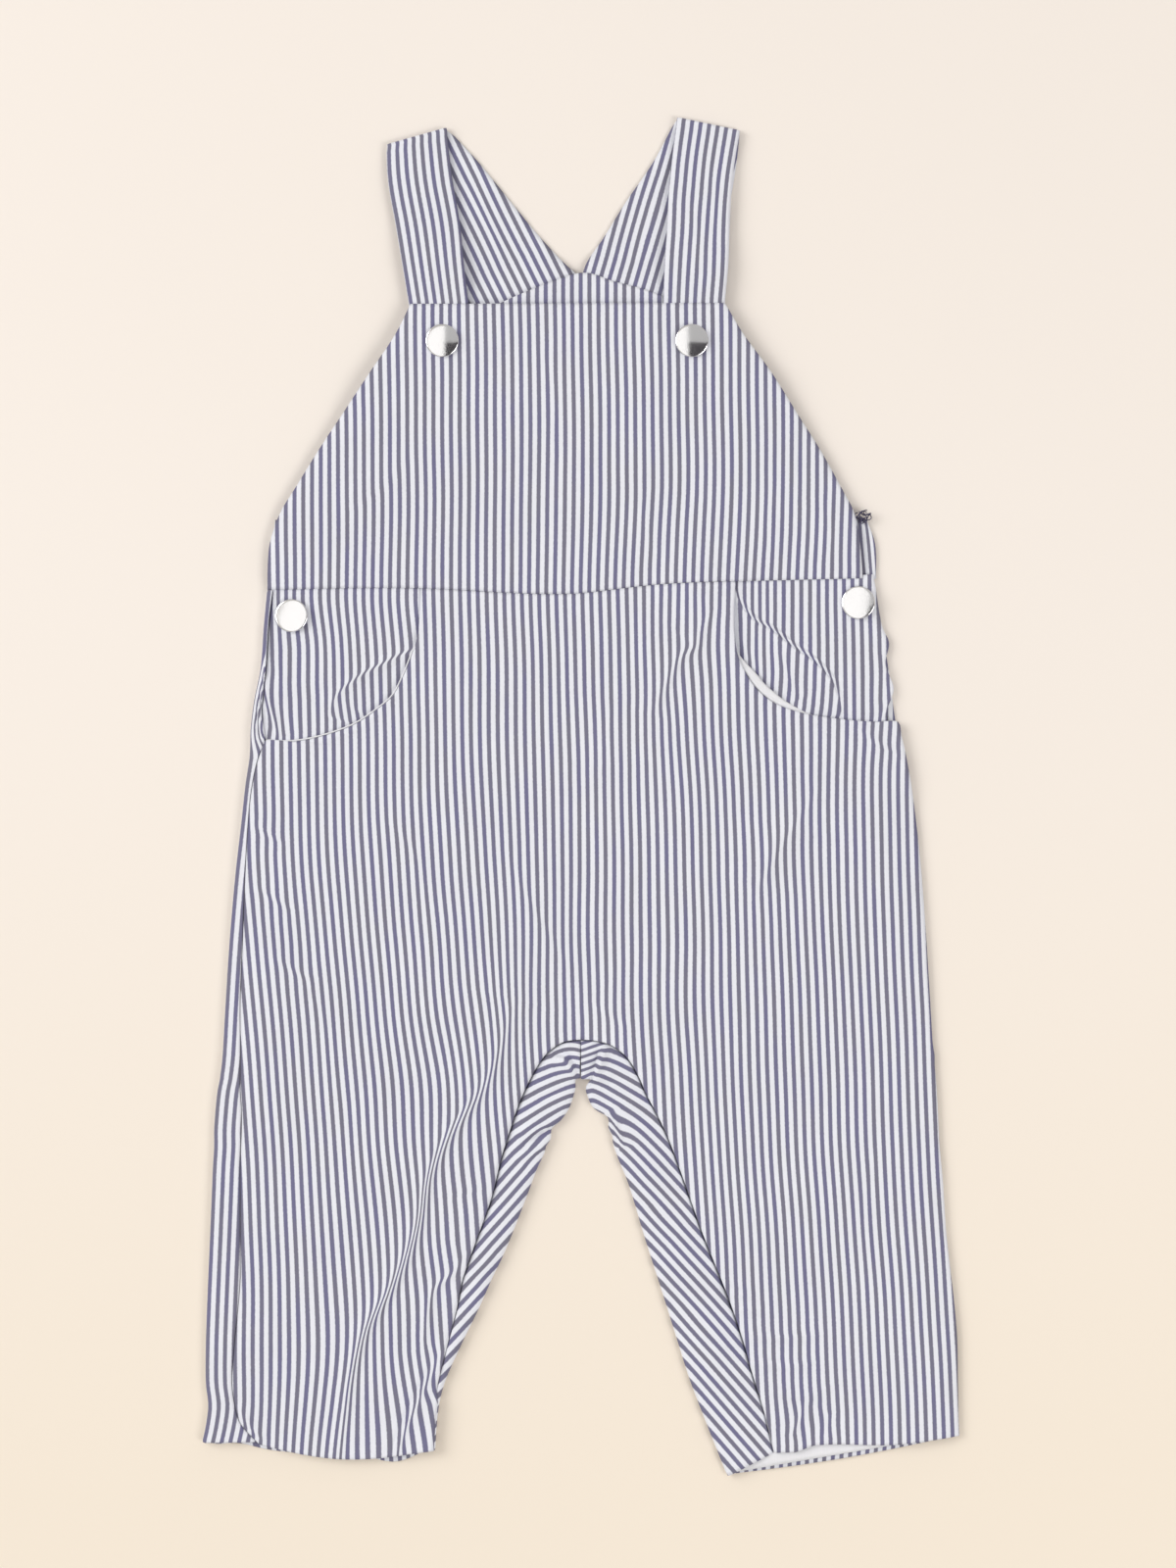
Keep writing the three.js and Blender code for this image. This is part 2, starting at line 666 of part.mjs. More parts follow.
// Strap: front stretch up to the shoulder, round the fold there, and down the back
function makeStrap(frontTable, backTable) {
  const front = { left: edge(frontTable, "leftX", "leftY"), right: edge(frontTable, "rightX", "rightY") };
  const back = { left: edge(backTable, "leftX", "leftY"), right: edge(backTable, "rightX", "rightY") };
  const top = frontTable.at(-1);
  const along = new THREE.Vector3(top.rightX - top.leftX, top.rightY - top.leftY, 0).normalize();
  const inward = new THREE.Vector3(along.y, -along.x, 0);
  const frontPlaces = stations([front.left, front.right], STRAP_STEP);
  const backPlaces = stations([back.left, back.right], STRAP_STEP);
  const frontRows = panel(frontPlaces, front.left, front.right, STRAP_COLUMNS, strapFrontHeight);
  const backRows = panel(backPlaces, back.left, back.right, STRAP_COLUMNS, strapBackHeight);
  const topRow = panel([1], front.left, front.right, STRAP_COLUMNS, () => FIRST)[0];
  const around = topRow.map((spot) => roll(spot, inward, SHOULDER_RADIUS));
  const turns = around[0].map((_, step) => around.map((points) => points[step]));
  const below = (spot) => inward.dot(spot.clone().sub(topRow[0]));
  const clear = (row) => row.every((spot) => below(spot) > 2 * (SHOULDER_RADIUS + CLOTH / 2));
  return cloth([[...frontRows.filter(clear), ...turns, ...backRows.filter(clear)]]);
}

// Level piece at one height, between two named edges of its table
function makeFlatPiece(rows, height, firstName = "left", secondName = "right") {
  const first = edge(rows, `${firstName}X`, `${firstName}Y`);
  const second = edge(rows, `${secondName}X`, `${secondName}Y`);
  const places = stations([first, second], 2 * ROW_STEP);
  return cloth([panel(places, first, second, FLAT_COLUMNS, () => height)]);
}

// Casing across the back waist, with its gathers as waves on the upper side
function makeCasing() {
  const left = edge(CASING_ROWS, "leftX", "leftY");
  const right = edge(CASING_ROWS, "rightX", "rightY");
  const columns = GATHERS.count * GATHERS.columnsEach;
  const places = Array.from({ length: GATHERS.rows + 1 }, (_, row) => row / GATHERS.rows);
  const end = CASING_ROWS[0].rightX;
  const pitch = (end - CASING_ROWS[0].leftX) / GATHERS.count;
  const wave = (x) => (1 + Math.cos((2 * Math.PI * (x - end)) / pitch)) / 2;
  return gathered([panel(places, left, right, columns, () => 0)], (x) => CLOTH + GATHERS.rise * wave(x));
}

function makeButton() {
  const profile = [
    new THREE.Vector2(0, 0),
    new THREE.Vector2(BUTTON.foot, 0),
    new THREE.Vector2(BUTTON.radius, BUTTON.rimLow),
    new THREE.Vector2(BUTTON.radius, BUTTON.rimHigh),
    new THREE.Vector2(BUTTON.shoulder, (BUTTON.rimHigh + BUTTON.dome) / 2),
    new THREE.Vector2(BUTTON.shoulder / 2, BUTTON.brow),
    new THREE.Vector2(0, BUTTON.dome),
  ];
  return new THREE.LatheGeometry(profile, BUTTON.sides);
}

const stripedCloth = new THREE.MeshStandardMaterial({ color: CLOTH_COLOUR, roughness: 0.9, metalness: 0 });
const liningCloth = new THREE.MeshStandardMaterial({ color: LINING_COLOUR, roughness: 0.85, metalness: 0 });
const buttonMetal = new THREE.MeshStandardMaterial({ color: METAL_COLOUR, roughness: 0.18, metalness: 1 });

const BUTTONS = [
  { name: "button_bib_left", x: -58.5, y: 192.5, under: FIFTH },
  { name: "button_bib_right", x: 47, y: 192.5, under: FIFTH },
  { name: "button_side_left", x: -122.5, y: 76.5, under: SECOND },
  { name: "button_side_right", x: 117.5, y: 82, under: SECOND },
];

const dungarees = new THREE.Group();
dungarees.name = "dungarees";

function add(name, geometry, material) {
  const mesh = new THREE.Mesh(geometry, material);
  mesh.name = name;
  dungarees.add(mesh);
  return mesh;
}

add("back_left", makeBackHalf(BACK_LEFT_ROWS, LEFT_LEG_ROWS, -1, true), stripedCloth);
add("back_right", makeBackHalf(BACK_RIGHT_ROWS, RIGHT_LEG_ROWS, 1, false), stripedCloth);
add("back_bib", makeFlatPiece(BACK_BIB_ROWS, FIRST), stripedCloth);
add("back_waist_casing", makeCasing(), stripedCloth);
add("strap_left", makeStrap(STRAP_LEFT_FRONT, STRAP_LEFT_BACK), stripedCloth);
add("strap_right", makeStrap(STRAP_RIGHT_FRONT, STRAP_RIGHT_BACK), stripedCloth);
add("back_facing", makeFlatPiece(FACING_STATIONS, THIRD, "top", "low"), stripedCloth);
add("pocket_side_left", makePocketSide(POCKET_LEFT_ROWS), stripedCloth);
add("pocket_side_right", makePocketSide(POCKET_RIGHT_ROWS), stripedCloth);
add("leg_lining_right", makeFlatPiece(LEG_LINING_ROWS, SECOND), liningCloth);
add("front_trousers", makeFrontTrousers(), stripedCloth);
add("pocket_lining_left", makePocketLining("left", -1, LINING_LEFT), liningCloth);
add("pocket_lining_right", makePocketLining("right", 1, LINING_RIGHT), liningCloth);
add("front_bib", makeBib(), stripedCloth);

for (const { name, x, y, under } of BUTTONS) {
  const button = add(name, makeButton(), buttonMetal);
  button.rotation.x = Math.PI / 2;
  button.position.set(x, y, under + CLOTH / 2 + SEAM);
}

export default dungarees;
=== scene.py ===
"""A baby's striped dungarees laid flat with the front up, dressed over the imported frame.

Tables are in millimetres and meshes in metres. X runs to the right of the picture, Y to the
straps and Z up off the table, as in the frame. Left and right are as seen from above.
"""

import logging
import math
from collections.abc import Callable
from dataclasses import dataclass
from enum import Enum

import bpy
import numpy as np
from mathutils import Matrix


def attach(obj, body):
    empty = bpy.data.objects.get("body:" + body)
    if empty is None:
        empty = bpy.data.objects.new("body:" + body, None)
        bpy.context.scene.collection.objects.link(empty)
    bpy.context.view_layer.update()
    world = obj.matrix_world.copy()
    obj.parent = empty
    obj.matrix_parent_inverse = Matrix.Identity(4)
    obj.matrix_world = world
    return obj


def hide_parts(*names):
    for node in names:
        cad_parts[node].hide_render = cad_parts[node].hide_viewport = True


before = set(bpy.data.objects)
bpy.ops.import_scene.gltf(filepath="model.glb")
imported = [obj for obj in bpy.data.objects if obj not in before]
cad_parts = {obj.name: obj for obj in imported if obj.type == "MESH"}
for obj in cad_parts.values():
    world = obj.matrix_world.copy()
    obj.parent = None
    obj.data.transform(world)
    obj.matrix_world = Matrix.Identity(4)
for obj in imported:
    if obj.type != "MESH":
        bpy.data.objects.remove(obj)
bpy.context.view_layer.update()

LOG = logging.getLogger("dungarees")
MM = 0.001
Array = np.ndarray
Socket = bpy.types.NodeSocket

# Layers of cloth: the middle of each wall above the table
LAYER = 1.3
FIRST = 0.5
SECOND = FIRST + LAYER
THIRD = SECOND + LAYER
FOURTH = THIRD + LAYER
FIFTH = FOURTH + LAYER
WALL = 0.8
THIN_WALL = 0.6
HALF_SOLID = 0.5

# How much of a wall's thickness is left at its edge
EDGE_SHARE = 0.5

ROLL_RADIUS = LAYER
SHOULDER_RADIUS = 0.9
ROLL_STEPS = 8
STRIPE_PITCH = 3.7

# The waist seam, and how far the cloth sinks beside it
WAIST_Y = 89.0
SINK_REACH = 1.4


class Slot(Enum):
    """Names of material slots."""

    STRIPED = "striped_cloth"
    LINING = "lining_cloth"
    METAL = "button_metal"


class Side(Enum):
    """Sides of the garment as seen from above, with the sign of X on that side."""

    LEFT = -1
    RIGHT = 1

    @property
    def word(self) -> str:
        """The side's name as tables and pieces spell it."""
        return self.name.lower()

    def across(self, along: Array) -> Array:
        """Level directions at right angles to given ones, towards the side's outer edge."""
        return self.value * np.column_stack([-along[:, 1], along[:, 0]])


def smoothstep(values: Array, low: float, high: float) -> Array:
    """Rises from 0 at low to 1 at high as 3t squared less 2t cubed."""
    share = np.clip((values - low) / (high - low), 0.0, 1.0)
    return share * share * (3.0 - 2.0 * share)


def bell(away: Array, reach: float) -> Array:
    """Falls from 1 as e to the power of minus the square of the distance over the reach."""
    return np.exp(-((away / reach) ** 2))


@dataclass(frozen=True)
class Curve:
    """Smooth plane curve through points, as a centripetal Catmull-Rom spline."""

    points: Array

    def at(self, places: Array) -> Array:
        """Points at places from 0 to 1, with equal parts for all gaps: a cubic in each gap, whose
        slopes at both ends come from the neighbouring gaps weighed by the roots of their lengths.

        Args:
            places: Shares of the way along.

        Returns:
            Array of n points with x and y.
        """
        known = np.vstack([2 * self.points[0] - self.points[1], self.points,
                           2 * self.points[-1] - self.points[-2]])
        gaps = len(self.points) - 1
        spot = np.clip(np.asarray(places, float), 0.0, 1.0) * gaps
        gap = np.minimum(spot.astype(int), gaps - 1)
        share = (spot - gap)[:, None]
        before, start, end, after = (known[gap + step] for step in range(4))
        spans = [np.sqrt(np.linalg.norm(far - near, axis=1))[:, None]
                 for near, far in ((before, start), (start, end), (end, after))]
        spans = [np.where(span < 1e-4, 1.0, span) for span in spans]
        leave = ((start - before) / spans[0] - (end - before) / (spans[0] + spans[1])
                 + (end - start) / spans[1]) * spans[1]
        arrive = ((end - start) / spans[1] - (after - start) / (spans[1] + spans[2])
                  + (after - end) / spans[2]) * spans[1]
        square = -3 * start + 3 * end - 2 * leave - arrive
        cube = 2 * start - 2 * end + leave + arrive
        return start + leave * share + square * share**2 + cube * share**3

    def tangents(self, places: Array) -> Array:
        """Unit directions along the curve, from points a ten-thousandth apart.

        Args:
            places: Shares of the way along.

        Returns:
            Array of n directions with x and y.
        """
        step = 1e-4
        ahead = self.at(np.minimum(places + step, 1.0)) - self.at(np.maximum(places - step, 0.0))
        return ahead / np.linalg.norm(ahead, axis=1)[:, None]

    def x_at(self, heights: Array) -> Array:
        """X where a falling curve passes each height, read between 600 points on it."""
        dense = self.at(np.linspace(0, 1, 600))
        return np.interp(heights, dense[::-1, 1], dense[::-1, 0])


@dataclass(frozen=True)
class Table:
    """Rows of measured numbers whose columns have names."""

    names: str
    rows: tuple

    def column(self, name: str) -> Array:
        """All the numbers of one column."""
        return np.array(self.rows, float)[:, self.names.split().index(name)]

    def pair(self, name: str) -> Array:
        """The columns nameX and nameY side by side."""
        return np.column_stack([self.column(name + "X"), self.column(name + "Y")])

    def curve(self, name: str) -> Curve:
        """Curve through the columns nameX and nameY."""
        return Curve(self.pair(name))

    def grid(self, step: float, columns: int, need: Callable | None = None,
             edges: tuple = ("left", "right")) -> tuple[Array, Array]:
        """Plane grid between two of the table's curves, as the function ruled makes it.

        Args:
            step: Longest cut along the edges.
            columns: Steps across.
            need: Function of x and y that crowds the columns.
            edges: Names of the two curves.

        Returns:
            Points and the shares across of every point.
        """
        first, second = (self.curve(edge) for edge in edges)
        return ruled(first, second, stations([first, second], step), columns, need)


def stations(curves: list[Curve], step: float) -> Array:
    """Places along a table, with cuts no longer than asked on its longest edge.

    Args:
        curves: Edges with equal counts of points.
        step: Longest cut in millimetres.

    Returns:
        Rising places from 0 to 1.
    """
    lengths = [np.linalg.norm(np.diff(curve.points, axis=0), axis=1) for curve in curves]
    cuts = np.maximum(1, np.ceil(np.max(lengths, axis=0) / step)).astype(int)
    parts = [(gap + np.arange(count) / count) / len(cuts) for gap, count in enumerate(cuts)]
    return np.append(np.concatenate(parts), 1.0)


def ruled(first: Curve, second: Curve, places: Array, columns: int,
          need: Callable | None = None) -> tuple[Array, Array]:
    """Plane grid with a straight row from one curve to the other at each place. The columns lie
    evenly, or crowd where the cloth needs them: in each row their places then split the running
    sum of one plus the need evenly.

    Args:
        first: Curve of the first column.
        second: Curve of the last column.
        places: Where the rows lie.
        columns: Steps across.
        need: Function of x and y that gives the need.

    Returns:
        Points, rows by columns by 2, and the shares across of every point.
    """
    start, end = first.at(places), second.at(places)
    share = np.tile(np.linspace(0, 1, columns + 1), (len(places), 1))
    if need is not None:
        trial, even = ruled(first, second, places, 5 * columns)
        weight = 1 + need(trial[..., 0], trial[..., 1])
        parts = np.cumsum((weight[:, 1:] + weight[:, :-1]) / 2, axis=1)
        running = np.concatenate([np.zeros((len(parts), 1)), parts / parts[:, -1:]], axis=1)
        share = np.stack([np.interp(share[0], row, even[0]) for row in running])
    return start[:, None] + share[..., None] * (end - start)[:, None], share


@dataclass(frozen=True)
class Crease:
    """Soft ridge or trough along a given line.

    For a line that runs down the page, the first reach is how far it slopes to the left and the
    second to the right. The pull is the cloth tucked into it, which the stripes jump as they
    cross, on both sides or only beyond the line.
    """

    stops: tuple
    rise: float
    reach: tuple
    pull: float = 0.0
    jump: float = 1.3
    settle: float = 22.0
    beyond: bool = False
    taper: float = 0.8

    def near(self, x: Array, y: Array) -> tuple[Array, Array]:
        """Signed distance from the line, which bends smoothly through its stops, and the fading
        of the crease towards its ends, a power of a sine of the place along it.

        Args:
            x: Millimetres to the right.
            y: Millimetres up the page.

        Returns:
            Distances, above 0 on the right of a line that runs down the page, and fadings.
        """
        gaps = 5 * (len(self.stops) - 1)
        line = Curve(np.array(self.stops, float)).at(np.linspace(0, 1, gaps + 1))
        runs = np.diff(line, axis=0)
        lengths = np.linalg.norm(runs, axis=1)
        best = np.full(x.shape, np.inf)
        signed = np.full(x.shape, 1e3)
        place = np.zeros(x.shape)
        for k in range(gaps):
            away = np.stack([x - line[k, 0], y - line[k, 1]], axis=-1)
            share = np.clip(away @ runs[k] / lengths[k] ** 2, 0, 1)
            distance = np.linalg.norm(away - share[..., None] * runs[k], axis=-1)
            turn = runs[k, 0] * away[..., 1] - runs[k, 1] * away[..., 0]
            closer = distance < best
            best = np.where(closer, distance, best)
            signed = np.where(closer, np.where(turn < 0, -distance, distance), signed)
            along = (lengths[:k].sum() + share * lengths[k]) / lengths.sum()
            place = np.where(closer, along, place)
        return signed, np.sin(np.pi * place) ** self.taper

    def ridge(self, signed: Array, fading: Array) -> Array:
        """Height: the rise times a bell over the distance, whose width differs on the two sides."""
        reach = np.where(signed < 0, self.reach[0], self.reach[1])
        return self.rise * fading * bell(signed, reach)

    def shift(self, signed: Array, fading: Array) -> Array:
        """Shift of the stripes: the pull times a rising S over the distance, which fades out
        further away.

        Args:
            signed: Distances from the line.
            fading: How strong the crease is at each place.

        Returns:
            Millimetres across the stripes.
        """
        rise = np.tanh(signed / self.jump)
        if self.beyond:
            return 0.5 * self.pull * fading * (1 + rise) * bell(np.maximum(signed, 0), self.settle)
        return 0.5 * self.pull * fading * rise * bell(signed, self.settle)

    def need(self, signed: Array, fading: Array) -> Array:
        """How much finer a grid has to be: more near the sharper and taller creases."""
        need = abs(self.rise) / min(self.reach) + 0.35 * abs(self.pull) / self.jump
        return 1.6 * min(need, 2.4) * np.sqrt(fading) * bell(signed, 4.5)


class Creases:
    """The creases of one piece of cloth."""

    margin = 60.0

    def __init__(self, *creases: Crease) -> None:
        """Keeps the creases."""
        self.creases = creases

    def _sum(self, x: Array, y: Array, part: Callable) -> Array:
        """Sum of a part of every crease, worked out only within a margin of its line.

        Args:
            x: Millimetres to the right.
            y: Millimetres up the page.
            part: Method of a crease that takes distances and fadings.

        Returns:
            The sum at each place.
        """
        x, y = np.broadcast_arrays(np.asarray(x, float), np.asarray(y, float))
        total = np.zeros(x.shape)
        for crease in self.creases:
            stops = np.array(crease.stops, float)
            low, high = stops.min(axis=0) - self.margin, stops.max(axis=0) + self.margin
            close = (x > low[0]) & (x < high[0]) & (y > low[1]) & (y < high[1])
            if close.any():
                total[close] += part(crease, *crease.near(x[close], y[close]))
        return total

    def height(self, x: Array, y: Array) -> Array:
        """Sum of the ridges."""
        return self._sum(x, y, Crease.ridge)

    def pull(self, x: Array, y: Array) -> Array:
        """Sum of the shifts of the stripes."""
        return self._sum(x, y, Crease.shift)

    def focus(self, x: Array, y: Array) -> Array:
        """Sum of the needs for a finer grid."""
        return self._sum(x, y, Crease.need)


@dataclass(frozen=True)
class Grain:
    """Where chosen stripes run: each row gives a height and the x of every chosen stripe."""

    stripes: tuple
    rows: tuple

    def across(self, x: Array, y: Array) -> Array:
        """Cloth coordinate across the stripes. In each row the stripes' places are joined by
        straight runs, and between the rows a cubic over four of them gives the value.

        Args:
            x: Millimetres to the right.
            y: Millimetres up the page.

        Returns:
            Millimetres of cloth, whole pitches on the middles of the dark stripes.
        """
        rows = np.array(self.rows, float)
        beyond = 14
        numbers = [self.stripes[0] - beyond, *self.stripes, self.stripes[-1] + beyond]
        margin = beyond * STRIPE_PITCH
        values = np.stack([np.interp(x, [row[1] - margin, *row[1:], row[-1] + margin], numbers)
                           for row in rows])
        last = len(rows) - 1
        spot = np.interp(-y, -rows[:, 0], np.arange(last + 1))
        gap = np.clip(spot.astype(int), 0, last - 1)
        share = spot - gap
        parts = [np.take_along_axis(values, np.clip(gap + step, 0, last)[None], 0)[0]
                 for step in (-1, 0, 1, 2)]
        weights = (
            (-share + 2 * share**2 - share**3) / 2,
            (2 - 5 * share**2 + 3 * share**3) / 2,
            (share + 4 * share**2 - 3 * share**3) / 2,
            (-(share**2) + share**3) / 2,
        )
        return STRIPE_PITCH * sum(weight * part for weight, part in zip(weights, parts, strict=True))


@dataclass
class Patch:
    """One grid of a sheet: places and cloth coordinates, in millimetres."""

    points: Array
    cloth: Array


def drape(x: Array, y: Array) -> Array:
    """Gentle unevenness of cloth laid by hand, from 0 to about 0.7 mm: three slow waves that
    cross at odd angles, each a sine of a slanted distance, lifted so that they only rise.

    Args:
        x: Millimetres to the right.
        y: Millimetres up the page.

    Returns:
        Heights in millimetres.
    """
    first = np.sin(0.061 * x + 0.023 * y + 0.8)
    second = np.sin(-0.037 * x + 0.052 * y + 2.1)
    third = np.sin(0.118 * x - 0.041 * y + 4.0) * np.sin(0.019 * y + 0.5)
    return 0.11 * (3 + first + second + third)


def wander(x: Array, y: Array) -> Array:
    """Unevenness of up to a sixth of a millimetre in how the stripes run: two slanted sines."""
    return 0.1 * np.sin(0.061 * y + 0.043 * x + 1.0) + 0.06 * np.sin(0.13 * y - 0.07 * x + 2.7)


def run(start: Array, end: Array, columns: int, crown: Array | float = 0.0) -> Array:
    """Straight runs from starts to ends, without the starts, crowned as half a sine.

    Args:
        start: Points, n by 3.
        end: Points, n by 3.
        columns: How many steps.
        crown: Height of the middle above the straight line.

    Returns:
        Points, n by columns by 3.
    """
    share = np.arange(1, columns + 1) / columns
    spots = start[:, None] + share[None, :, None] * (end - start)[:, None]
    spots[..., 2] += np.reshape(crown, (-1, 1)) * np.sin(np.pi * share)[None]
    return spots


def rolled(outline: Array, inward: Array, radius: float) -> Array:
    """Half a circle of cloth at each outline point, from its top round to its bottom: the
    centre lies a radius and half a wall inwards, and the angle falls from 90 to -90 degrees.

    Args:
        outline: Points on the outer line, n by 2.
        inward: Unit directions into the cloth, n by 2.
        radius: Radius of the wall's middle.

    Returns:
        Points, n by steps by 3.
    """
    angle = np.pi / 2 - np.pi * np.arange(ROLL_STEPS + 1) / ROLL_STEPS
    reach = radius + HALF_SOLID - radius * np.cos(angle)
    flat = outline[:, None] + inward[:, None] * reach[None, :, None]
    return lifted(flat, np.broadcast_to(FIRST + radius + radius * np.sin(angle), flat.shape[:2]))


def lifted(points: Array, height: Array) -> Array:
    """Plane points with heights, as points with x, y and z."""
    return np.concatenate([points, height[..., None]], axis=-1)


def unit(directions: Array, least: float) -> Array:
    """Directions over their lengths, or over the least length where they are shorter."""
    return directions / np.maximum(np.linalg.norm(directions, axis=1), least)[:, None]


@dataclass(frozen=True)
class ClothMesh:
    """Makes closed, evenly thick meshes from grids of cloth, with a wall in millimetres."""

    wall: float = WALL

    @staticmethod
    def _weld(patches: list[Patch]) -> tuple[Array, Array, Array]:
        """One set of points for all the grids, their quads, and cloth coordinates per corner.

        Args:
            patches: Grids that share points where they meet.

        Returns:
            Points, corner numbers of the quads, and cloth coordinates.
        """
        points, cloth, quads, passed = [], [], [], 0
        for patch in patches:
            rows, columns = patch.points.shape[:2]
            number = passed + np.arange(rows * columns).reshape(rows, columns)
            corners = (number[:-1, :-1], number[:-1, 1:], number[1:, 1:], number[1:, :-1])
            quads.append(np.stack(corners, axis=-1).reshape(-1, 4))
            points.append(patch.points.reshape(-1, 3))
            cloth.append(patch.cloth.reshape(-1, 2))
            passed += rows * columns
        spots, corners, marks = np.vstack(points), np.vstack(quads), np.vstack(cloth)
        _, first, known = np.unique(np.round(spots, 3), axis=0, return_index=True, return_inverse=True)
        return spots[first], known.reshape(-1)[corners], marks[corners]

    def build(self, name: str, patches: list[Patch]) -> bpy.types.Object:
        """Wall on both sides of the welded grids: each point moves half a wall along the mean
        normal of its faces, less at the sheet's edge, and the edge is closed with a strip.

        Args:
            name: Name of the piece.
            patches: Grids that share points where they meet.

        Returns:
            The new object, in metres, with its cloth coordinates as a UV map.
        """
        points, quads, marks = self._weld(patches)
        keep = quads != np.roll(quads, -1, axis=1)
        whole = keep.all(axis=1)
        three = keep.sum(axis=1) == 3
        kinds = [(quads[whole], marks[whole]),
                 (quads[three][keep[three]].reshape(-1, 3), marks[three][keep[three]].reshape(-1, 3, 2))]
        normals = np.zeros_like(points)
        for (faces, _), (a, b, c, d) in zip(kinds, ((2, 0, 3, 1), (1, 0, 2, 0)), strict=True):
            turned = np.cross(points[faces[:, a]] - points[faces[:, b]],
                              points[faces[:, c]] - points[faces[:, d]])
            for corner in range(faces.shape[1]):
                np.add.at(normals, faces[:, corner], turned)
        starts = np.concatenate([faces.reshape(-1) for faces, _ in kinds])
        ends = np.concatenate([np.roll(faces, -1, axis=1).reshape(-1) for faces, _ in kinds])
        first_marks = np.concatenate([uv.reshape(-1, 2) for _, uv in kinds])
        last_marks = np.concatenate([np.roll(uv, -1, axis=1).reshape(-1, 2) for _, uv in kinds])
        count = len(points)
        open_edge = ~np.isin(starts * count + ends, ends * count + starts)
        first, last = starts[open_edge], ends[open_edge]
        first_marks, last_marks = first_marks[open_edge], last_marks[open_edge]
        half = np.full(count, self.wall / 2)
        half[first] *= EDGE_SHARE
        shift = unit(normals, 1e-12) * half[:, None]
        parts = [part for faces, uv in kinds
                 for part in ((faces, uv), (faces[:, ::-1] + count, uv[:, ::-1]))]
        parts.insert(2, (np.column_stack([last, first, first + count, last + count]),
                         np.stack([last_marks, first_marks, first_marks, last_marks], axis=1)))
        corners = [face for faces, _ in parts for face in faces.tolist()]
        uv = np.concatenate([part.reshape(-1, 2) for _, part in parts])
        return solid(name, np.vstack([points + shift, points - shift]), corners, uv)


def solid(name: str, points: Array, faces: list, uv: Array | None = None) -> bpy.types.Object:
    """Smooth-shaded object at the origin from points in millimetres.

    Args:
        name: Name of the piece.
        points: Points, n by 3.
        faces: Corner numbers of each face.
        uv: Cloth coordinates in millimetres for every corner in turn.

    Returns:
        The new object.
    """
    mesh = bpy.data.meshes.new(name)
    mesh.from_pydata((points * MM).tolist(), [], faces)
    mesh.polygons.foreach_set("use_smooth", np.ones(len(mesh.polygons), bool))
    if uv is not None:
        layer = mesh.uv_layers.new(name="cloth")
        layer.data.foreach_set("uv", (uv * MM).astype(np.float32).ravel())
    mesh.update()
    return placed(name, mesh)


def placed(name: str, data: bpy.types.ID) -> bpy.types.Object:
    """New object in the scene for a mesh, a lamp or a camera.

    Args:
        name: Name of the object.
        data: What it shows.

    Returns:
        The object.
    """
    item = bpy.data.objects.new(name, data)
    bpy.context.scene.collection.objects.link(item)
    return item


def tube_faces(rings: int, sides: int) -> list:
    """Corner numbers of the quads of a tube of rings, which point outwards for rings that turn
    left along the path.

    Args:
        rings: Count of rings.
        sides: Points on each ring.

    Returns:
        Four corner numbers for each face.
    """
    ring = np.arange(rings - 1)[:, None] * sides
    side = np.arange(sides)[None]
    after = (side + 1) % sides
    quads = np.stack([ring + side, ring + after, ring + after + sides, ring + side + sides], axis=-1)
    return quads.reshape(-1, 4).tolist()


# Measured tables, the same as the solids'
EDGES = "leftX leftY rightX rightY"
BIB_ROWS = Table(EDGES, (
    (-72, 208.2, 61, 208.6), (-78, 196, 68.5, 196), (-89, 179.5, 80.5, 179.5), (-100, 163, 91, 163),
    (-111, 146.5, 101.5, 146.5), (-121.5, 129.5, 111, 129.5), (-126.5, 121.5, 115.5, 121),
    (-130, 113, 117.5, 112.5), (-132, 105, 118.5, 105), (-132.8, 88.2, 119.5, 93),
))
MOUTH_ROWS = 12
BODY_ROWS = Table("leftX leftY midY rightX rightY", (
    (-67.5, 89, 89.9, 66, 91), (-68, 80.5, 80.5, 65, 81.5), (-69, 69, 69, 65, 69.5),
    (-71.5, 60, 60, 66.5, 60),
    (-75, 51, 52, 70, 52), (-79.5, 42.5, 44, 74.5, 45.5), (-86.5, 36.5, 37, 82, 39.5),
    (-95.5, 30.5, 31, 93, 35.5), (-107.5, 26, 26, 104, 33.5), (-118.5, 23.5, 21.5, 117, 32),
    (-127, 23, 17.5, 127, 31.5), (-133.5, 23.5, 14, 134.5, 31.5), (-135.3, 19, 10.5, 135.8, 26),
    (-137, 14, 7, 137, 21), (-139.5, 1, -3, 140, 5), (-141, -16, -19, 142.5, -14),
    (-142, -34, -36, 144.5, -34), (-143, -61, -61, 146.5, -61), (-144, -86, -86, 148, -86),
    (-144, -102, -103, 149, -103),
))
LEG_COLUMNS = "sideX sideY inseamX inseamY foldX foldY outX outY bow"
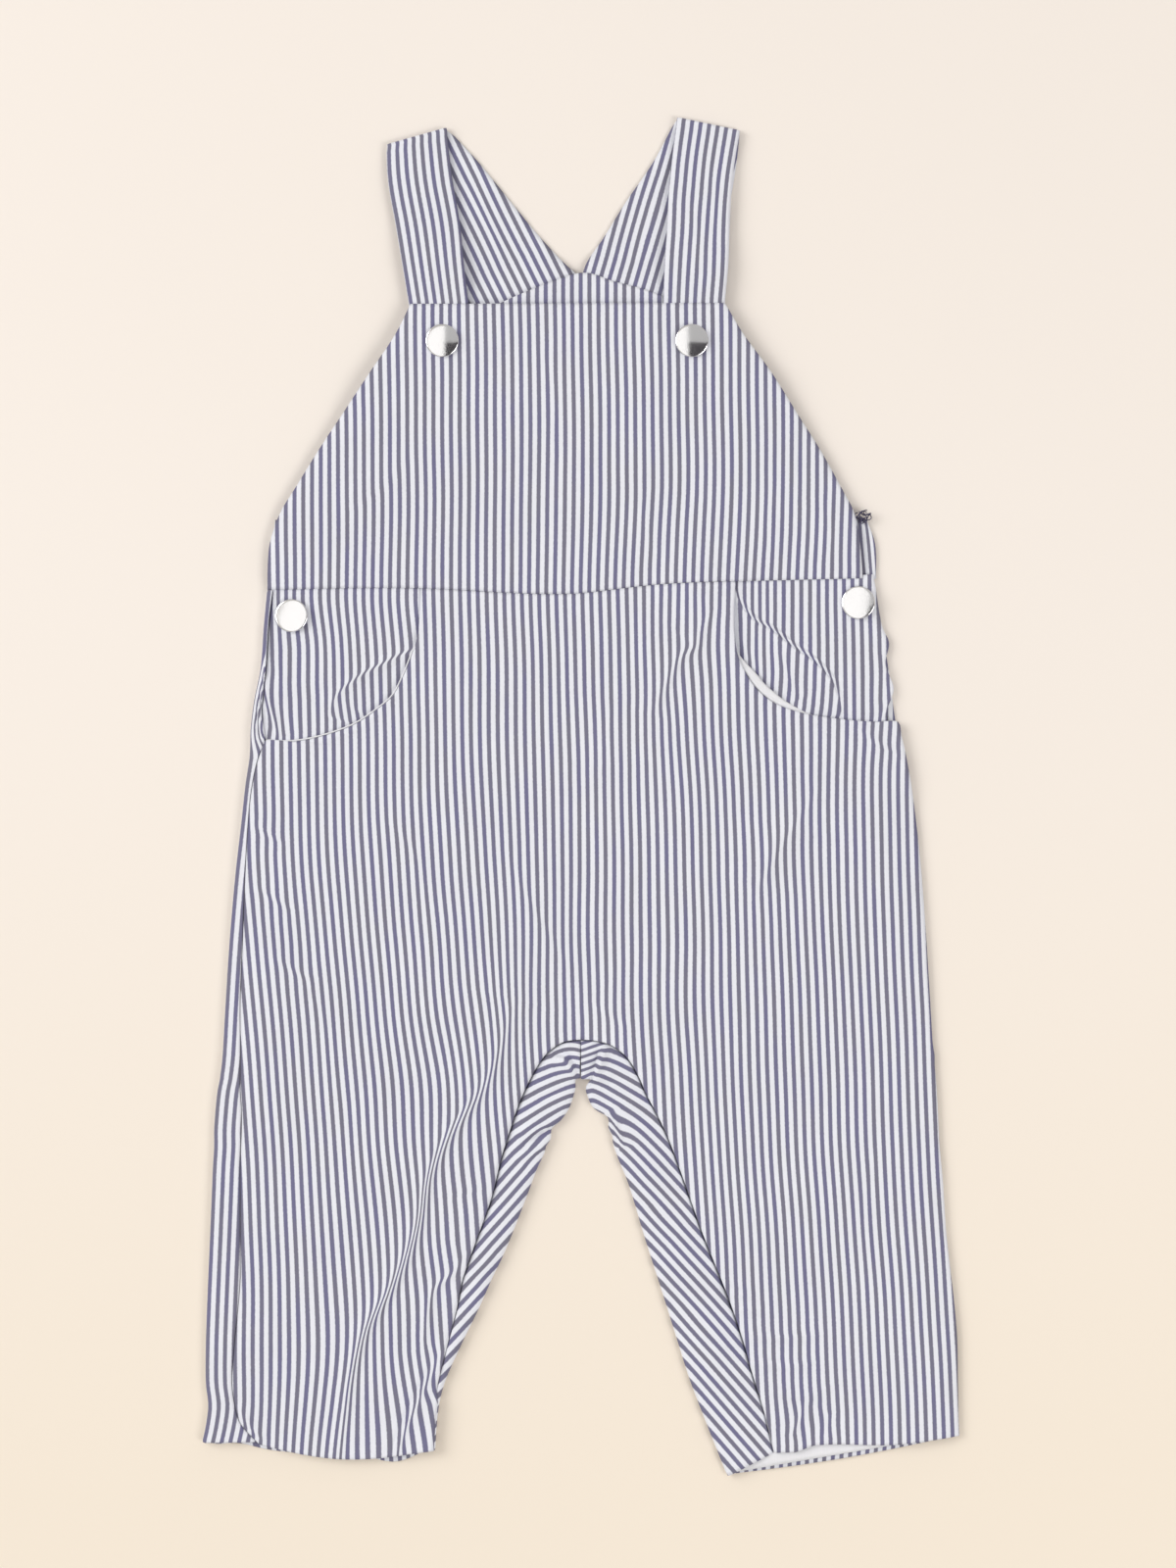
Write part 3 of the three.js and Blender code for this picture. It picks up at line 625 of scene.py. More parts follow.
LEFT_LEG_ROWS = Table(LEG_COLUMNS, (
    (-144, -102, 0, -103, 0, -119.5, -153, -119.5, 0),
    (-144, -107, -7, -104, -2, -120, -153.5, -122, 0),
    (-144, -112, -14, -108.5, -2.5, -123.5, -154, -124.5, 0),
    (-144, -117.5, -18.5, -114.5, -4, -127.5, -154.5, -128.5, 0),
    (-144, -124.5, -22.5, -122, -6, -133.5, -155, -134, 0),
    (-143.5, -132, -26.5, -131, -11, -141.5, -155.5, -141.5, 0),
    (-143.5, -141.5, -30, -141.5, -13.5, -148, -155.5, -148.5, 0),
    (-144, -154.5, -34, -154.5, -18, -157, -156, -157, 0),
    (-144, -169, -37.5, -169, -22.5, -169, -156.5, -169, 0),
    (-144, -193, -46, -193, -32, -193, -157.5, -193, 0),
    (-144, -204.5, -50, -204.5, -37.5, -204.5, -158, -204.5, 0),
    (-145, -217, -52.5, -217, -43, -217, -158.5, -217, 0),
    (-146.5, -232.5, -56.5, -232.5, -50.5, -232.5, -159, -232.5, 0),
    (-147.5, -248.5, -60.5, -248.5, -57.5, -248.5, -159, -248.5, 1),
    (-146.5, -257, -62.5, -258.5, -60, -258.5, -158, -258, 3),
    (-144, -265.5, -63.5, -268, -61, -268, -159, -266.5, 4),
    (-136, -274.5, -64, -277, -61.5, -277, -160.5, -273.5, 5),
))
RIGHT_LEG_ROWS = Table(LEG_COLUMNS, (
    (149, -103, 0, -103, 0, -119.5, 149.5, -119.5, 0),
    (149.5, -107, 6, -103.5, 4.5, -120, 149.5, -122, 0),
    (150, -110, 13, -105.5, 3, -123.5, 149.5, -124.5, 0),
    (150, -114, 19.5, -110.5, 3.5, -127, 149.5, -128.5, 0),
    (150.5, -119.5, 24, -117.5, 5, -131.5, 150, -132, 0),
    (151, -127, 28, -126.5, 10, -136.5, 150.5, -137, 0),
    (151.5, -136.5, 33, -136, 12, -142.5, 151, -142.5, 0),
    (152, -147, 38, -147, 15, -151.5, 151.5, -151.5, 0),
    (153.5, -163.5, 44, -163.5, 20, -164, 153, -164, 0),
    (155, -186, 52, -186, 27, -187, 154.5, -187, 0),
    (158, -212, 62.5, -212, 35, -212, 157.5, -212, 0),
    (159.5, -229.5, 68.5, -229.5, 40.5, -229.5, 159, -229.5, 0),
    (159.8, -245.5, 73, -245.5, 45.5, -245.5, 159.2, -245.5, 0),
    (160, -260.5, 78, -261.5, 51.5, -261.5, 159.6, -260.5, 0),
    (160.4, -271, 82, -278, 62, -288, 160, -270.8, 1.5),
))
BACK_LEFT_ROWS = Table("midY outX outY", (
    (89.6, -133, 87.4), (71.5, -134.5, 71.5), (54, -135.8, 54), (40.5, -138.5, 40.5), (28, -140, 28),
    (17.5, -140.4, 17.5), (5, -142.2, 5), (-11.5, -144, -11.5), (-33.5, -146.5, -33.5),
    (-62.5, -149, -62.5), (-89, -150.7, -89), (-111, -152, -111),
))
BACK_RIGHT_ROWS = Table("midY outX outY", (
    (89.6, 124.5, 91.6), (71.5, 127.5, 71.5), (51, 131, 51), (32, 133.5, 31.5), (5, 139.2, 5),
    (-19.5, 142.5, -19.5), (-36.5, 144, -36.5), (-61, 146, -61), (-86, 147.5, -86), (-103, 148.5, -103),
))
POCKET_LEFT_ROWS = Table(EDGES, (
    (-130.3, 86.8, -60, 88.5), (-132, 73, -60, 72), (-133, 57, -63, 53), (-134, 45, -70, 38),
    (-135, 36, -79, 30), (-134.5, 28, -91, 23), (-132, 20, -107, 17.5), (-129, 15.5, -117, 14.5),
))
POCKET_RIGHT_ROWS = Table(EDGES, (
    (58, 89.5, 124, 92), (57, 75.5, 127, 75.5), (58.5, 58, 130, 62), (64, 44, 131, 50),
    (75, 33, 131, 40),
    (92, 26, 131, 33), (111, 23, 130, 26),
))
STRAP_LEFT_FRONT = Table(EDGES, (
    (-68.5, 181.5, -44, 183), (-71, 198, -46.5, 199), (-73, 210, -47.7, 210.5),
    (-75.5, 225, -49.5, 226),
    (-78.3, 241.5, -51, 241.5), (-81.7, 261.5, -54.5, 262.5), (-82.3, 276.5, -57, 283.6),
))
STRAP_LEFT_BACK = Table(EDGES, (
    (-82.3, 276.5, -57, 283.6), (-79.5, 262.5, -43.5, 269), (-75, 248, -30, 252.5),
    (-69.5, 231.5, -18.5, 238.5),
    (-65, 219, -7, 226), (-61, 208.5, -0.4, 219), (-58.5, 200, -0.4, 208.5),
))
STRAP_RIGHT_FRONT = Table(EDGES, (
    (35.5, 181.5, 60.5, 180.5), (35, 198, 60.5, 197.5), (35, 210, 61, 208.5), (35.5, 226, 62.5, 226),
    (36.5, 239.5, 63, 239.5), (37.5, 258.5, 64, 258.5), (39, 273, 65.5, 270.5), (41, 288, 67.6, 282.4),
))
STRAP_RIGHT_BACK = Table(EDGES, (
    (41, 288, 67.6, 282.4), (30.5, 268.5, 65.5, 264.5), (19.5, 252.5, 62.5, 248),
    (9.5, 236.5, 59, 231.5),
    (2.5, 226, 56, 217), (0.4, 219, 53.5, 208.5), (0.4, 208.5, 51.5, 200),
))
BACK_BIB_ROWS = Table(EDGES, (
    (-7, 219.5, 6, 220.5), (-21, 214.5, 24, 215), (-33.5, 209.5, 38, 210.5), (-63.5, 199, 61, 200),
    (-86, 179.5, 77, 180.5), (-107.5, 146.5, 97.5, 147), (-121.5, 125.5, 112, 127.5),
    (-125.5, 117.8, 115.5, 118.2),
))
FACING_STATIONS = Table("topX topY lowX lowY", (
    (-46, 203, -46, 196), (-30.5, 210.5, -30.5, 196), (-17.5, 216, -17.5, 196), (-6.5, 220, -6.5, 196),
    (-1.5, 221.5, -1.5, 196), (4.5, 221.4, 4.5, 196), (13.5, 218.2, 13.5, 196),
    (24.5, 215.4, 24.5, 196),
    (36, 211.5, 36, 196),
))
CASING_ROWS = Table(EDGES, (
    (-129.5, 117.2, 121.2, 117.5), (-131, 105, 124.8, 107), (-131.5, 87.8, 125.2, 92.2),
))
LEG_LINING_ROWS = Table(EDGES, ((68.5, -256, 144, -256), (66.5, -286.2, 144, -272.9)))

# Dark stripes followed down the front, numbered from the middle one
FRONT_GRAIN = Grain((-42, -30, -24, -18, -12, -6, 0, 6, 12, 18, 30), (
    (90, -159.4, -115, -92.5, -70, -47.5, -25, -3, 19.5, 41.5, 62.5, 108),
    (60, -157.4, -113, -91, -69, -46.5, -24, -2.5, 20, 40.5, 62.5, 109),
    (30, -156.4, -112, -90.2, -68.5, -46.5, -23.5, -1.5, 20.5, 41, 63, 109),
    (0, -155.9, -111.5, -89.8, -68, -45.5, -23, -0.5, 21, 43, 64.5, 108.5),
    (-30, -154.9, -110.5, -88.2, -66, -43.5, -22, -0.5, 21.5, 44, 65.5, 109),
    (-60, -152.4, -108, -85.8, -63.5, -41.5, -21, -0.5, 21.5, 44.5, 66.5, 110),
    (-90, -149.4, -105, -83.2, -61.5, -39, -21, 0.5, 22, 44.5, 67, 111.5),
    (-120, -146.9, -102.5, -80.2, -58, -38, -19, 1.5, 23.5, 46.5, 68, 112.5),
    (-150, -144.9, -100.5, -79.8, -59, -36.5, -17, 3, 25, 48, 69.5, 113.5),
    (-180, -143.4, -99, -78.2, -57.5, -35, -15, 5, 27, 50, 71.5, 115.5),
    (-210, -142.4, -98, -77.8, -57.5, -34.5, -14, 6, 28, 51.5, 73, 117.5),
    (-240, -142.7, -98.3, -78.2, -57.7, -36, -14, 7, 29, 53, 74.5, 119),
    (-275, -142.4, -102, -77, -55.6, -39, -15, 8, 30, 55, 76.5, 120.5),
))
BIB_GRAIN = Grain((0, 15, 35, 55, 69), (
    (208, -132.8, -77.5, -3.5, 70.5, 122),
    (170, -132.5, -77, -3, 71, 122),
    (130, -132.2, -76.8, -2.8, 71.2, 121.8),
    (92, -131.8, -77, -3.6, 69.6, 121),
))
POCKET_LEFT_GRAIN = Grain((0, 1, 3, 5, 10, 16), (
    (84, -131.2, -128.2, -121.4, -114.1, -95.7, -73.7),
    (63, -130.7, -127.3, -119.3, -111.7, -94.2, -71.9),
    (46, -130.4, -126.6, -119.0, -111.5, -93.6, -71.4),
    (29, -128.5, -125.8, -118.6, -111.2, -93.6, -71.5),
))
POCKET_RIGHT_GRAIN = Grain((0, 4, 8, 12, 16), (
    (84, 69.5, 82.3, 97.2, 111.5, 126.0),
    (64, 69.8, 82.5, 97.3, 111.9, 126.6),
    (45, 69.8, 82.5, 97.3, 112.2, 126.7),
    (29, 69.8, 82.5, 97.3, 112.4, 126.6),
))

FRONT_CREASES = Creases(
    Crease(((-28, -86), (-34.2, -107.7), (-41.7, -124.3), (-55, -142.6), (-64.1, -160.8),
        (-69.1, -182.4),
            (-79.9, -207.3), (-90.7, -225.5), (-97.3, -245.5), (-100, -262), (-103, -290)),
           1.7, (3.4, 2.6), 7.5, 1.5, 24),
    Crease(((-14, -58), (-30, -92), (-46, -128), (-62, -164)), 0.8, (12, 9)),
    Crease(((-38, -110), (-47, -128), (-60, -147), (-68, -170)), -0.5, (1.2, 1.2)),
    Crease(((-47.9, -192.8), (-52.9, -200.7), (-61.6, -208.1), (-64.5, -216.8), (-66.6, -235.5)),
           1.0, (2.2, 2.2), 2.4, 1.0, 12),
    Crease(((-58.5, -234), (-62, -242), (-71, -258.7), (-77.4, -276.2),
        (-78, -284)), 1.4, (1.5, 3.6), 3.4, 0.8, 12),
    Crease(((-60, -234), (-63.6, -242), (-72.6, -258.7), (-79, -276.2),
        (-79.6, -284)), -0.8, (1.3, 1.0)),
    Crease(((-38, -166), (-48, -168), (-58, -171)), -0.35, (1.4, 1.4), 0.3, 1.0, 5),
    Crease(((57, 80), (51, 71), (48.5, 63), (43, 60), (37, 49),
        (30, 34)), 1.2, (3.6, 2.2), 2.2, 1.4, 12),
    Crease(((102, 5), (86, -19), (71, -48)), 0.9, (6, 4), 0.8),
    Crease(((-32, -24), (-18, -50), (-4, -74)), 0.7, (8, 8), 0.6),
    Crease(((84, -13), (80, -26), (76, -38)), 0.5, (2.4, 3), 0.7),
    Crease(((50, -205), (74, -212), (98, -214)), 0.5, (6, 6)),
    Crease(((-67, 46), (-56, 44.5), (-46, 44)), -0.4, (1.6, 1.6)),
    Crease(((4, -86), (12, -93), (22, -98)), 0.5, (4, 3), 0.6),
    Crease(((-136, -30), (-112, -36), (-92, -34)), 0.35, (4, 6)),
    Crease(((58, -206), (66, -209.5), (74, -211)), 1.3, (2.6, 1.4), taper=0.6),
    Crease(((61, -215), (70, -217), (78, -216)), 1.0, (2.4, 1.3), taper=0.6),
    Crease(((66, -226), (84, -228), (104, -226.5)), 1.6, (3.0, 1.4), 0.25, 1.2, 6, taper=0.6),
    Crease(((70, -237), (86, -240.5), (101, -238.5)), 1.4, (2.8, 1.3), 0.25, 1.2, 6, taper=0.6),
    Crease(((76, -250), (92, -253), (110, -249)), 1.2, (3.0, 1.6), taper=0.6),
    Crease(((-139, -12), (-132, -16.5), (-125, -20)), 0.5, (1.4, 2.0), 0.9, 0.9, 6),
    Crease(((-138, -38), (-129, -44), (-121, -49)), 0.45, (1.4, 2.0), 0.8, 0.9, 6),
    Crease(((-130, -68), (-121, -74), (-112, -79)), 0.45, (1.6, 2.2), 0.8, 1.0, 7),
    Crease(((94, -256), (93, -263), (88, -271)), 0.7, (1.6, 1.8), 1.6, 0.9, 7),
    Crease(((107, -262), (105, -267), (104, -273)), 0.5, (1.6, 1.6), 0.9, 0.9, 6),
    Crease(((62, -186), (76, -184), (92, -187)), -0.3, (1.6, 1.6)),
    Crease(((118, 28), (126, 22.5), (136, 17.5)), 0.7, (1.3, 2.0), 0.9, 0.9, 7),
    Crease(((14, 40), (11, 26), (13, 12)), 0.4, (4, 5), 0.4),
    Crease(((-69, 78), (-70, 66), (-75, 51), (-86.5, 36.5), (-107.5, 26),
        (-122, 23)), 1.0, (3.2, 3.2), taper=0.5),
    Crease(((64, 86), (64, 69.5), (69, 52), (82, 39.5), (104, 33.5),
        (122, 31.8)), 1.0, (3.2, 3.2), taper=0.5),
    Crease(((-122, -70), (-108, -96), (-104, -130)), 0.35, (7, 9), 0.4),
    Crease(((126, -150), (120, -180), (124, -212)), 0.35, (8, 6), 0.4),
    Crease(((-84, -8), (-70, -24), (-64, -52)), 0.4, (7, 7), 0.5),
    Crease(((-146, -258), (-140, -266), (-134, -272)), 0.8, (1.2, 1.6), 1.2, 0.8, 5),
)
BIB_CREASES = Creases(
    Crease(((-100, 120), (-84, 130), (-70, 146)), 0.4, (7, 7), 0.3),
    Crease(((84, 136), (78, 118), (84, 98)), 0.4, (6, 7), 0.3),
    Crease(((-30, 104), (-4, 98), (26, 102)), 0.45, (7, 5)),
    Crease(((-18, 190), (-10, 168), (-14, 146)), 0.3, (8, 8), 0.3),
    Crease(((30, 132), (26, 118), (34, 102)), 0.35, (6, 6), 0.4),
    Crease(((-128, 112), (-112, 106), (-98, 108)), 0.4, (4, 5)),
    Crease(((100, 128), (106, 112), (104, 98)), 0.4, (5, 5), 0.5),
)
POCKET_LEFT_CREASES = Creases(
    Crease(((-62, 66), (-69, 63), (-77.1, 60), (-83.8, 56.4), (-91.1, 52.7), (-97.9, 48.1),
        (-104, 42.1),
            (-107, 34)), 1.0, (1.8, 2.4), 2.3, 0.6, 60, True, 0.5),
    Crease(((-100, 34), (-88, 40), (-79, 50), (-72, 60)), -0.6, (5, 6)),
    Crease(((-135.5, 52), (-134.5, 46), (-131.5, 37), (-127.5, 25)), 1.1, (0.9, 2.6), 2.4, 0.7, 9),
    Crease(((-130, 60), (-127, 50), (-124.5, 40)), 0.4, (2, 3), 0.6),
)
POCKET_RIGHT_CREASES = Creases(
    Crease(((111, 34), (110.1, 41.3), (107.2, 49.6), (100, 57.5), (90, 64.5), (81.1, 71.6),
        (75.2, 74.5),
            (69.2, 81.1), (62, 96)), 1.3, (0.7, 3.4), -2.2, 0.4, 60, True, 0.45),
    Crease(((111, 34), (109.7, 41), (106.6, 49), (99.4, 56.9), (89.4, 63.9), (80.5, 71), (74.6, 73.9),
            (68.6, 80.6), (61.4, 95.5)), -1.2, (1.0, 0.6), taper=0.4),
    Crease(((64, 90), (65, 68), (68, 56), (76, 46), (90, 39)), -1.1, (5, 4), taper=0.5),
    Crease(((84, 62), (88, 52), (92, 42)), 0.5, (2.4, 3), 1.0, 1.0, 8),
    Crease(((66, 72), (70, 62), (78, 50)), 0.5, (3, 4), 0.8),
    Crease(((131, 60), (129, 50), (131, 42)), 0.8, (2.0, 2.0), 1.2, 0.9, 6),
    Crease(((133, 41), (129, 36), (126, 30)), 0.7, (1.4, 1.6), 1.2, 0.8, 6),
)
RETURN_CREASES = Creases(
    Crease(((-12, -111), (-7, -111.5), (-4, -115),
        (-2, -119)), 2.0, (2.0, 0.9), 1.8, 0.5, 5, taper=0.5),
    Crease(((-13.5, -109.5), (-5.2, -110.2), (-1.3, -115)), -1.5, (1.0, 1.3), 0.8, 0.7, 5),
    Crease(((10, -106), (8.9, -109.8), (7, -115),
        (5, -120.5)), 2.0, (1.0, 2.0), -1.4, 0.6, 5, taper=0.5),
    Crease(((8.2, -106), (7.1, -110), (5.4, -115), (3.5, -120.5)), -1.5, (1.1, 1.1)),
    Crease(((4, -122), (8, -119.5), (14, -117)), 0.9, (1.0, 1.4)),
    Crease(((-9, -141), (-17, -140.5), (-25, -146)), 2.0, (1.0, 2.0), 1.8, 0.6, 6, taper=0.5),
    Crease(((-9, -143), (-17, -142.6), (-25, -148.4)), -1.5, (1.1, 1.1)),
    Crease(((-13, -150), (-18, -150), (-26, -155)), 1.0, (1.1, 1.1), 1.2, 0.7, 6),
    Crease(((9, -135), (11.5, -139), (14.5, -149)), 1.6, (0.9, 0.9), -4.4, 0.7, 4.5, taper=0.5),
    Crease(((12, -134), (14.6, -139), (17.8, -149)), 1.6, (0.9, 1.2), -3.4, 0.7, 5, taper=0.5),
    Crease(((10.5, -135), (13.0, -139), (16.1, -149)), -1.5, (0.8, 0.8)),
    Crease(((-20, -128), (-14, -127), (-7, -124)), -0.8, (1.2, 1.2)),
    Crease(((20, -122), (14, -121), (8, -125)), -0.8, (1.2, 1.2)),
    Crease(((-14, -131), (-20, -135), (-26, -140)), 0.45, (2.5, 3), 0.5),
    Crease(((24, -172), (34, -176), (42, -184)), 0.4, (3, 4), 0.5),
    Crease(((-34, -196), (-40, -200), (-46, -204)), 0.4, (3, 3), 0.4),
    Crease(((36, -214), (50, -222), (60, -234)), 0.4, (4, 4), 0.4),
)
STRAP_CREASES = Creases(
    Crease(((-78, 262), (-68, 250), (-60, 244)), 0.35, (5, 6)),
    Crease(((46, 252), (50, 238), (48, 222)), 0.3, (6, 6), 0.6),
    Crease(((-46, 262), (-40, 246), (-30, 226)), 0.4, (4, 4), 0.8),
    Crease(((36, 262), (30, 244), (26, 226)), 0.4, (4, 4), 0.8),
    Crease(((54, 270), (57, 250), (55, 232)), 0.25, (5, 5), 0.5),
)
BACK_CREASES = Creases(
    Crease(((-20, -50), (-48, -100), (-60, -160)), 0.3, (9, 7)),
    Crease(((24, -40), (52, -90), (70, -150)), 0.3, (8, 9)),
    Crease(((-90, 30), (-70, 0), (-74, -40)), 0.25, (8, 8)),
    Crease(((80, 40), (92, 0), (84, -50)), 0.25, (8, 8)),
)

# Tables by side
LEGS = {Side.LEFT: LEFT_LEG_ROWS, Side.RIGHT: RIGHT_LEG_ROWS}
BACKS = {Side.LEFT: BACK_LEFT_ROWS, Side.RIGHT: BACK_RIGHT_ROWS}
STRAPS = {
    Side.LEFT: (STRAP_LEFT_FRONT, STRAP_LEFT_BACK),
    Side.RIGHT: (STRAP_RIGHT_FRONT, STRAP_RIGHT_BACK),
}
POCKETS = {
    Side.LEFT: (POCKET_LEFT_ROWS, POCKET_LEFT_CREASES, POCKET_LEFT_GRAIN),
    Side.RIGHT: (POCKET_RIGHT_ROWS, POCKET_RIGHT_CREASES, POCKET_RIGHT_GRAIN),
}


def waist_dip(x: Array, y: Array) -> Array:
    """How far the waist seam sags down the page: a bell across, wider to its left, times a
    bell over the distance from the seam.

    Args:
        x: Millimetres to the right.
        y: Millimetres up the page.

    Returns:
        Millimetres down the page.
    """
    depth, lowest, left_reach, right_reach, fade = 4.2, -8.0, 50.0, 32.0, 24.0
    reach = np.where(x < lowest, left_reach, right_reach)
    return depth * bell(x - lowest, reach) * bell(y - WAIST_Y, fade)


def pucker(along: Array, away: Array, depth: float, pitch: float) -> Array:
    """Small uneven waves that a seam draws into the cloth: a sine along the seam whose phase
    wanders slowly, times a fast fade with the distance from it.

    Args:
        along: Millimetres along the seam.
        away: Millimetres from the seam.
        depth: Height of the waves at the seam.
        pitch: Mean length of a wave.

    Returns:
        Heights in millimetres.
    """
    phase = 2 * np.pi * along / pitch + 1.4 * np.sin(along / 13.0) + 0.9 * np.sin(along / 5.3 + 1.0)
    return depth * np.sin(phase) * bell(away, 3.5)


class Nodes:
    """Lays out the nodes of one tree, fed by sockets or by plain values."""

    def __init__(self, tree: bpy.types.NodeTree) -> None:
        """Keeps the tree."""
        self.tree = tree

    def feed(self, target: Socket, value: object) -> None:
        """Links a socket to the target, or sets the target to a plain value.

        Args:
            target: Input of a node.
            value: Socket, plain value or nothing.
        """
        if isinstance(value, Socket):
            self.tree.links.new(value, target)
        elif value is not None:
            target.default_value = value

    def find(self, kind: str) -> bpy.types.Node:
        """The tree's first node of a kind."""
        return next(node for node in self.tree.nodes if node.type == kind)

    def add(self, kind: str, inputs: dict, **settings: object) -> bpy.types.NodeOutputs:
        """Adds a node, makes its settings, and feeds its inputs.

        Args:
            kind: Blender's name of the node.
            inputs: Socket or value for each input's name or number.
            settings: Value for each of the node's own settings.

        Returns:
            The node's outputs.
        """
        node = self.tree.nodes.new(kind)
        for label, setting in settings.items():
            setattr(node, label, setting)
        for label, value in inputs.items():
            self.feed(node.inputs[label], value)
        return node.outputs

    def math(self, kind: str, *values: object) -> Socket:
        """Result of a math operation on sockets or numbers."""
        return self.add("ShaderNodeMath", dict(enumerate(values)), operation=kind)[0]

    def ramp(self, value: Socket, low: object, high: object, span: tuple = (0.0, 1.0),
             kind: str = "LINEAR") -> Socket:
        """Rise from the span's start at low to its end at high, held outside them.

        Args:
            value: What rises.
            low: Where the rise starts.
            high: Where it ends.
            span: Results at both ends.
            kind: Blender's name of its form.

        Returns:
            The result.
        """
        inputs = {"Value": value, "From Min": low, "From Max": high,
                  "To Min": span[0], "To Max": span[1]}
        return self.add("ShaderNodeMapRange", inputs, interpolation_type=kind)["Result"]

    def noise(self, vector: Socket, scale: float, detail: float = 2.0) -> Socket:
        """Value of a noise texture on a vector."""
        inputs = {"Vector": vector, "Scale": scale, "Detail": detail}
        return self.add("ShaderNodeTexNoise", inputs)["Fac"]

    def split(self, vector: Socket) -> tuple[Socket, Socket, Socket]:
        """The three parts of a vector."""
        return tuple(self.add("ShaderNodeSeparateXYZ", {0: vector}))

    def threads(self, across: Socket, along: Socket, wide: float, tall: float) -> Socket:
        """Noise drawn out along the cloth, with its own scale across and along."""
        parts = {0: self.math("MULTIPLY", across, wide), 1: self.math("MULTIPLY", along, tall)}
        return self.noise(self.add("ShaderNodeCombineXYZ", parts)[0], 1.0)

    def mix(self, share: object, first: object, second: object, kind: str = "MIX") -> Socket:
        """Blend of two sockets or colours, by a share from 0 to 1."""
        inputs = {0: share, 6: first, 7: second}
        return self.add("ShaderNodeMix", inputs, data_type="RGBA", blend_type=kind)[2]


class Group(Nodes):
    """Nodes of one new shader group."""

    def __init__(self, name: str, inputs: dict, outputs: dict) -> None:
        """Makes the group with its sockets.

        Args:
            name: Name of the group.
            inputs: Kind and default for each input's name.
            outputs: Kind for each output's name.
        """
        super().__init__(bpy.data.node_groups.new(name, "ShaderNodeTree"))
        sockets = self.tree.interface
        for label, (kind, default) in inputs.items():
            socket = sockets.new_socket(label, in_out="INPUT", socket_type="NodeSocket" + kind)
            if default is not None:
                socket.default_value = default
        for label, kind in outputs.items():
            sockets.new_socket(label, in_out="OUTPUT", socket_type="NodeSocket" + kind)
        self.given = self.tree.nodes.new("NodeGroupInput").outputs
        self.sink = self.tree.nodes.new("NodeGroupOutput").inputs

    def give(self, **values: Socket) -> bpy.types.NodeTree:
        """Feeds the group's outputs by name and hands over its tree.

        Args:
            values: Socket for each output's name.

        Returns:
            The tree.
        """
        for label, value in values.items():
            self.feed(self.sink[label], value)
        return self.tree


def ticking_group() -> bpy.types.NodeTree:
    """Group of yarn-dyed stripes along the cloth: the distance from the nearest whole pitch,
    roughened by fine noise, is stepped into dark and light, and the dark yarn's hue wanders
    from stripe to stripe.

    Returns:
        The group's tree.
    """
    group = Group("Ticking stripes", {
        "Vector": ("Vector", None),
        "Pitch": ("Float", 0.0037),
        "Dark share": ("Float", 0.42),
        "Softness": ("Float", 0.05),
        "Dark": ("Color", (0.15, 0.15, 0.3, 1)),
        "Dark grey": ("Color", (0.15, 0.15, 0.2, 1)),
        "Light": ("Color", (0.9, 0.9, 0.92, 1)),
    }, {"Color": "Color", "Mask": "Float"})
    across, along, _ = group.split(group.given["Vector"])
    pitches = group.math("DIVIDE", across, group.given["Pitch"])
    frayed = group.math("MULTIPLY_ADD", group.threads(across, along, 3000.0, 900.0), 0.09, pitches)
    offset = group.math("SUBTRACT", frayed, 0.045)
    near = group.math("PINGPONG", group.math("ADD", offset, 100.0), 0.5)
    half = group.math("MULTIPLY", group.given["Dark share"], 0.5)
    inner = group.math("SUBTRACT", half, group.given["Softness"])
    outer = group.math("ADD", half, group.given["Softness"])
    dark = group.math("SUBTRACT", 1.0, group.ramp(near, inner, outer, kind="SMOOTHSTEP"))
    place = {0: group.math("ROUND", offset), 1: group.math("MULTIPLY", along, 30.0)}
    hue = group.noise(group.add("ShaderNodeCombineXYZ", place)[0], 0.9)
    share = group.ramp(hue, 0.35, 0.65, kind="SMOOTHSTEP")
    yarn = group.mix(share, group.given["Dark"], group.given["Dark grey"])
    return group.give(Color=group.mix(dark, group.given["Light"], yarn), Mask=dark)


def weave_group() -> bpy.types.NodeTree:
    """Group of a plain weave: warp and weft threads as sines across and along the cloth, the
    higher of the two at every crossing in turn, so that each thread passes over and under. Its
    shade is partly painted shade, lighter on the threads' tops and darker in the hollows between
    them, and partly real slubs of uneven yarn.

    Returns:
        The group's tree.
    """
    group = Group("Plain weave", {"Vector": ("Vector", None), "Thread": ("Float", 0.00045)},
                  {"Height": "Float", "Shade": "Float"})
    across, along, _ = group.split(group.given["Vector"])
    wobble = group.noise(group.given["Vector"], 260.0, 1.0)
    counts, waves = [], []
    for part, bend in ((across, 0.35), (along, 0.3)):
        threads = group.math("DIVIDE", part, group.given["Thread"])
        counts.append(group.math("MULTIPLY_ADD", wobble, bend, threads))
        sine = group.math("SINE", group.math("MULTIPLY", counts[-1], math.pi))
        waves.append(group.math("ABSOLUTE", sine))
    crossing = group.math("ADD", *(group.math("FLOOR", count) for count in counts))
    odd = group.math("PINGPONG", crossing, 1.0)
    over = group.math("MULTIPLY", waves[0], group.math("MULTIPLY_ADD", odd, 0.5, 0.5))
    under = group.math("MULTIPLY", waves[1], group.math("MULTIPLY_ADD", odd, -0.5, 1.0))
    height = group.math("MAXIMUM", over, under)
    slub = group.math("MULTIPLY", group.threads(across, along, 1600.0, 60.0), 0.06)
    # Painted shade from the thread height: tops lighter, hollows darker; the slub added to it is real
    # yarn unevenness
    shade = group.math("ADD", group.math("MULTIPLY_ADD", height, 0.12, 0.86), slub)
    return group.give(Height=height, Shade=shade)


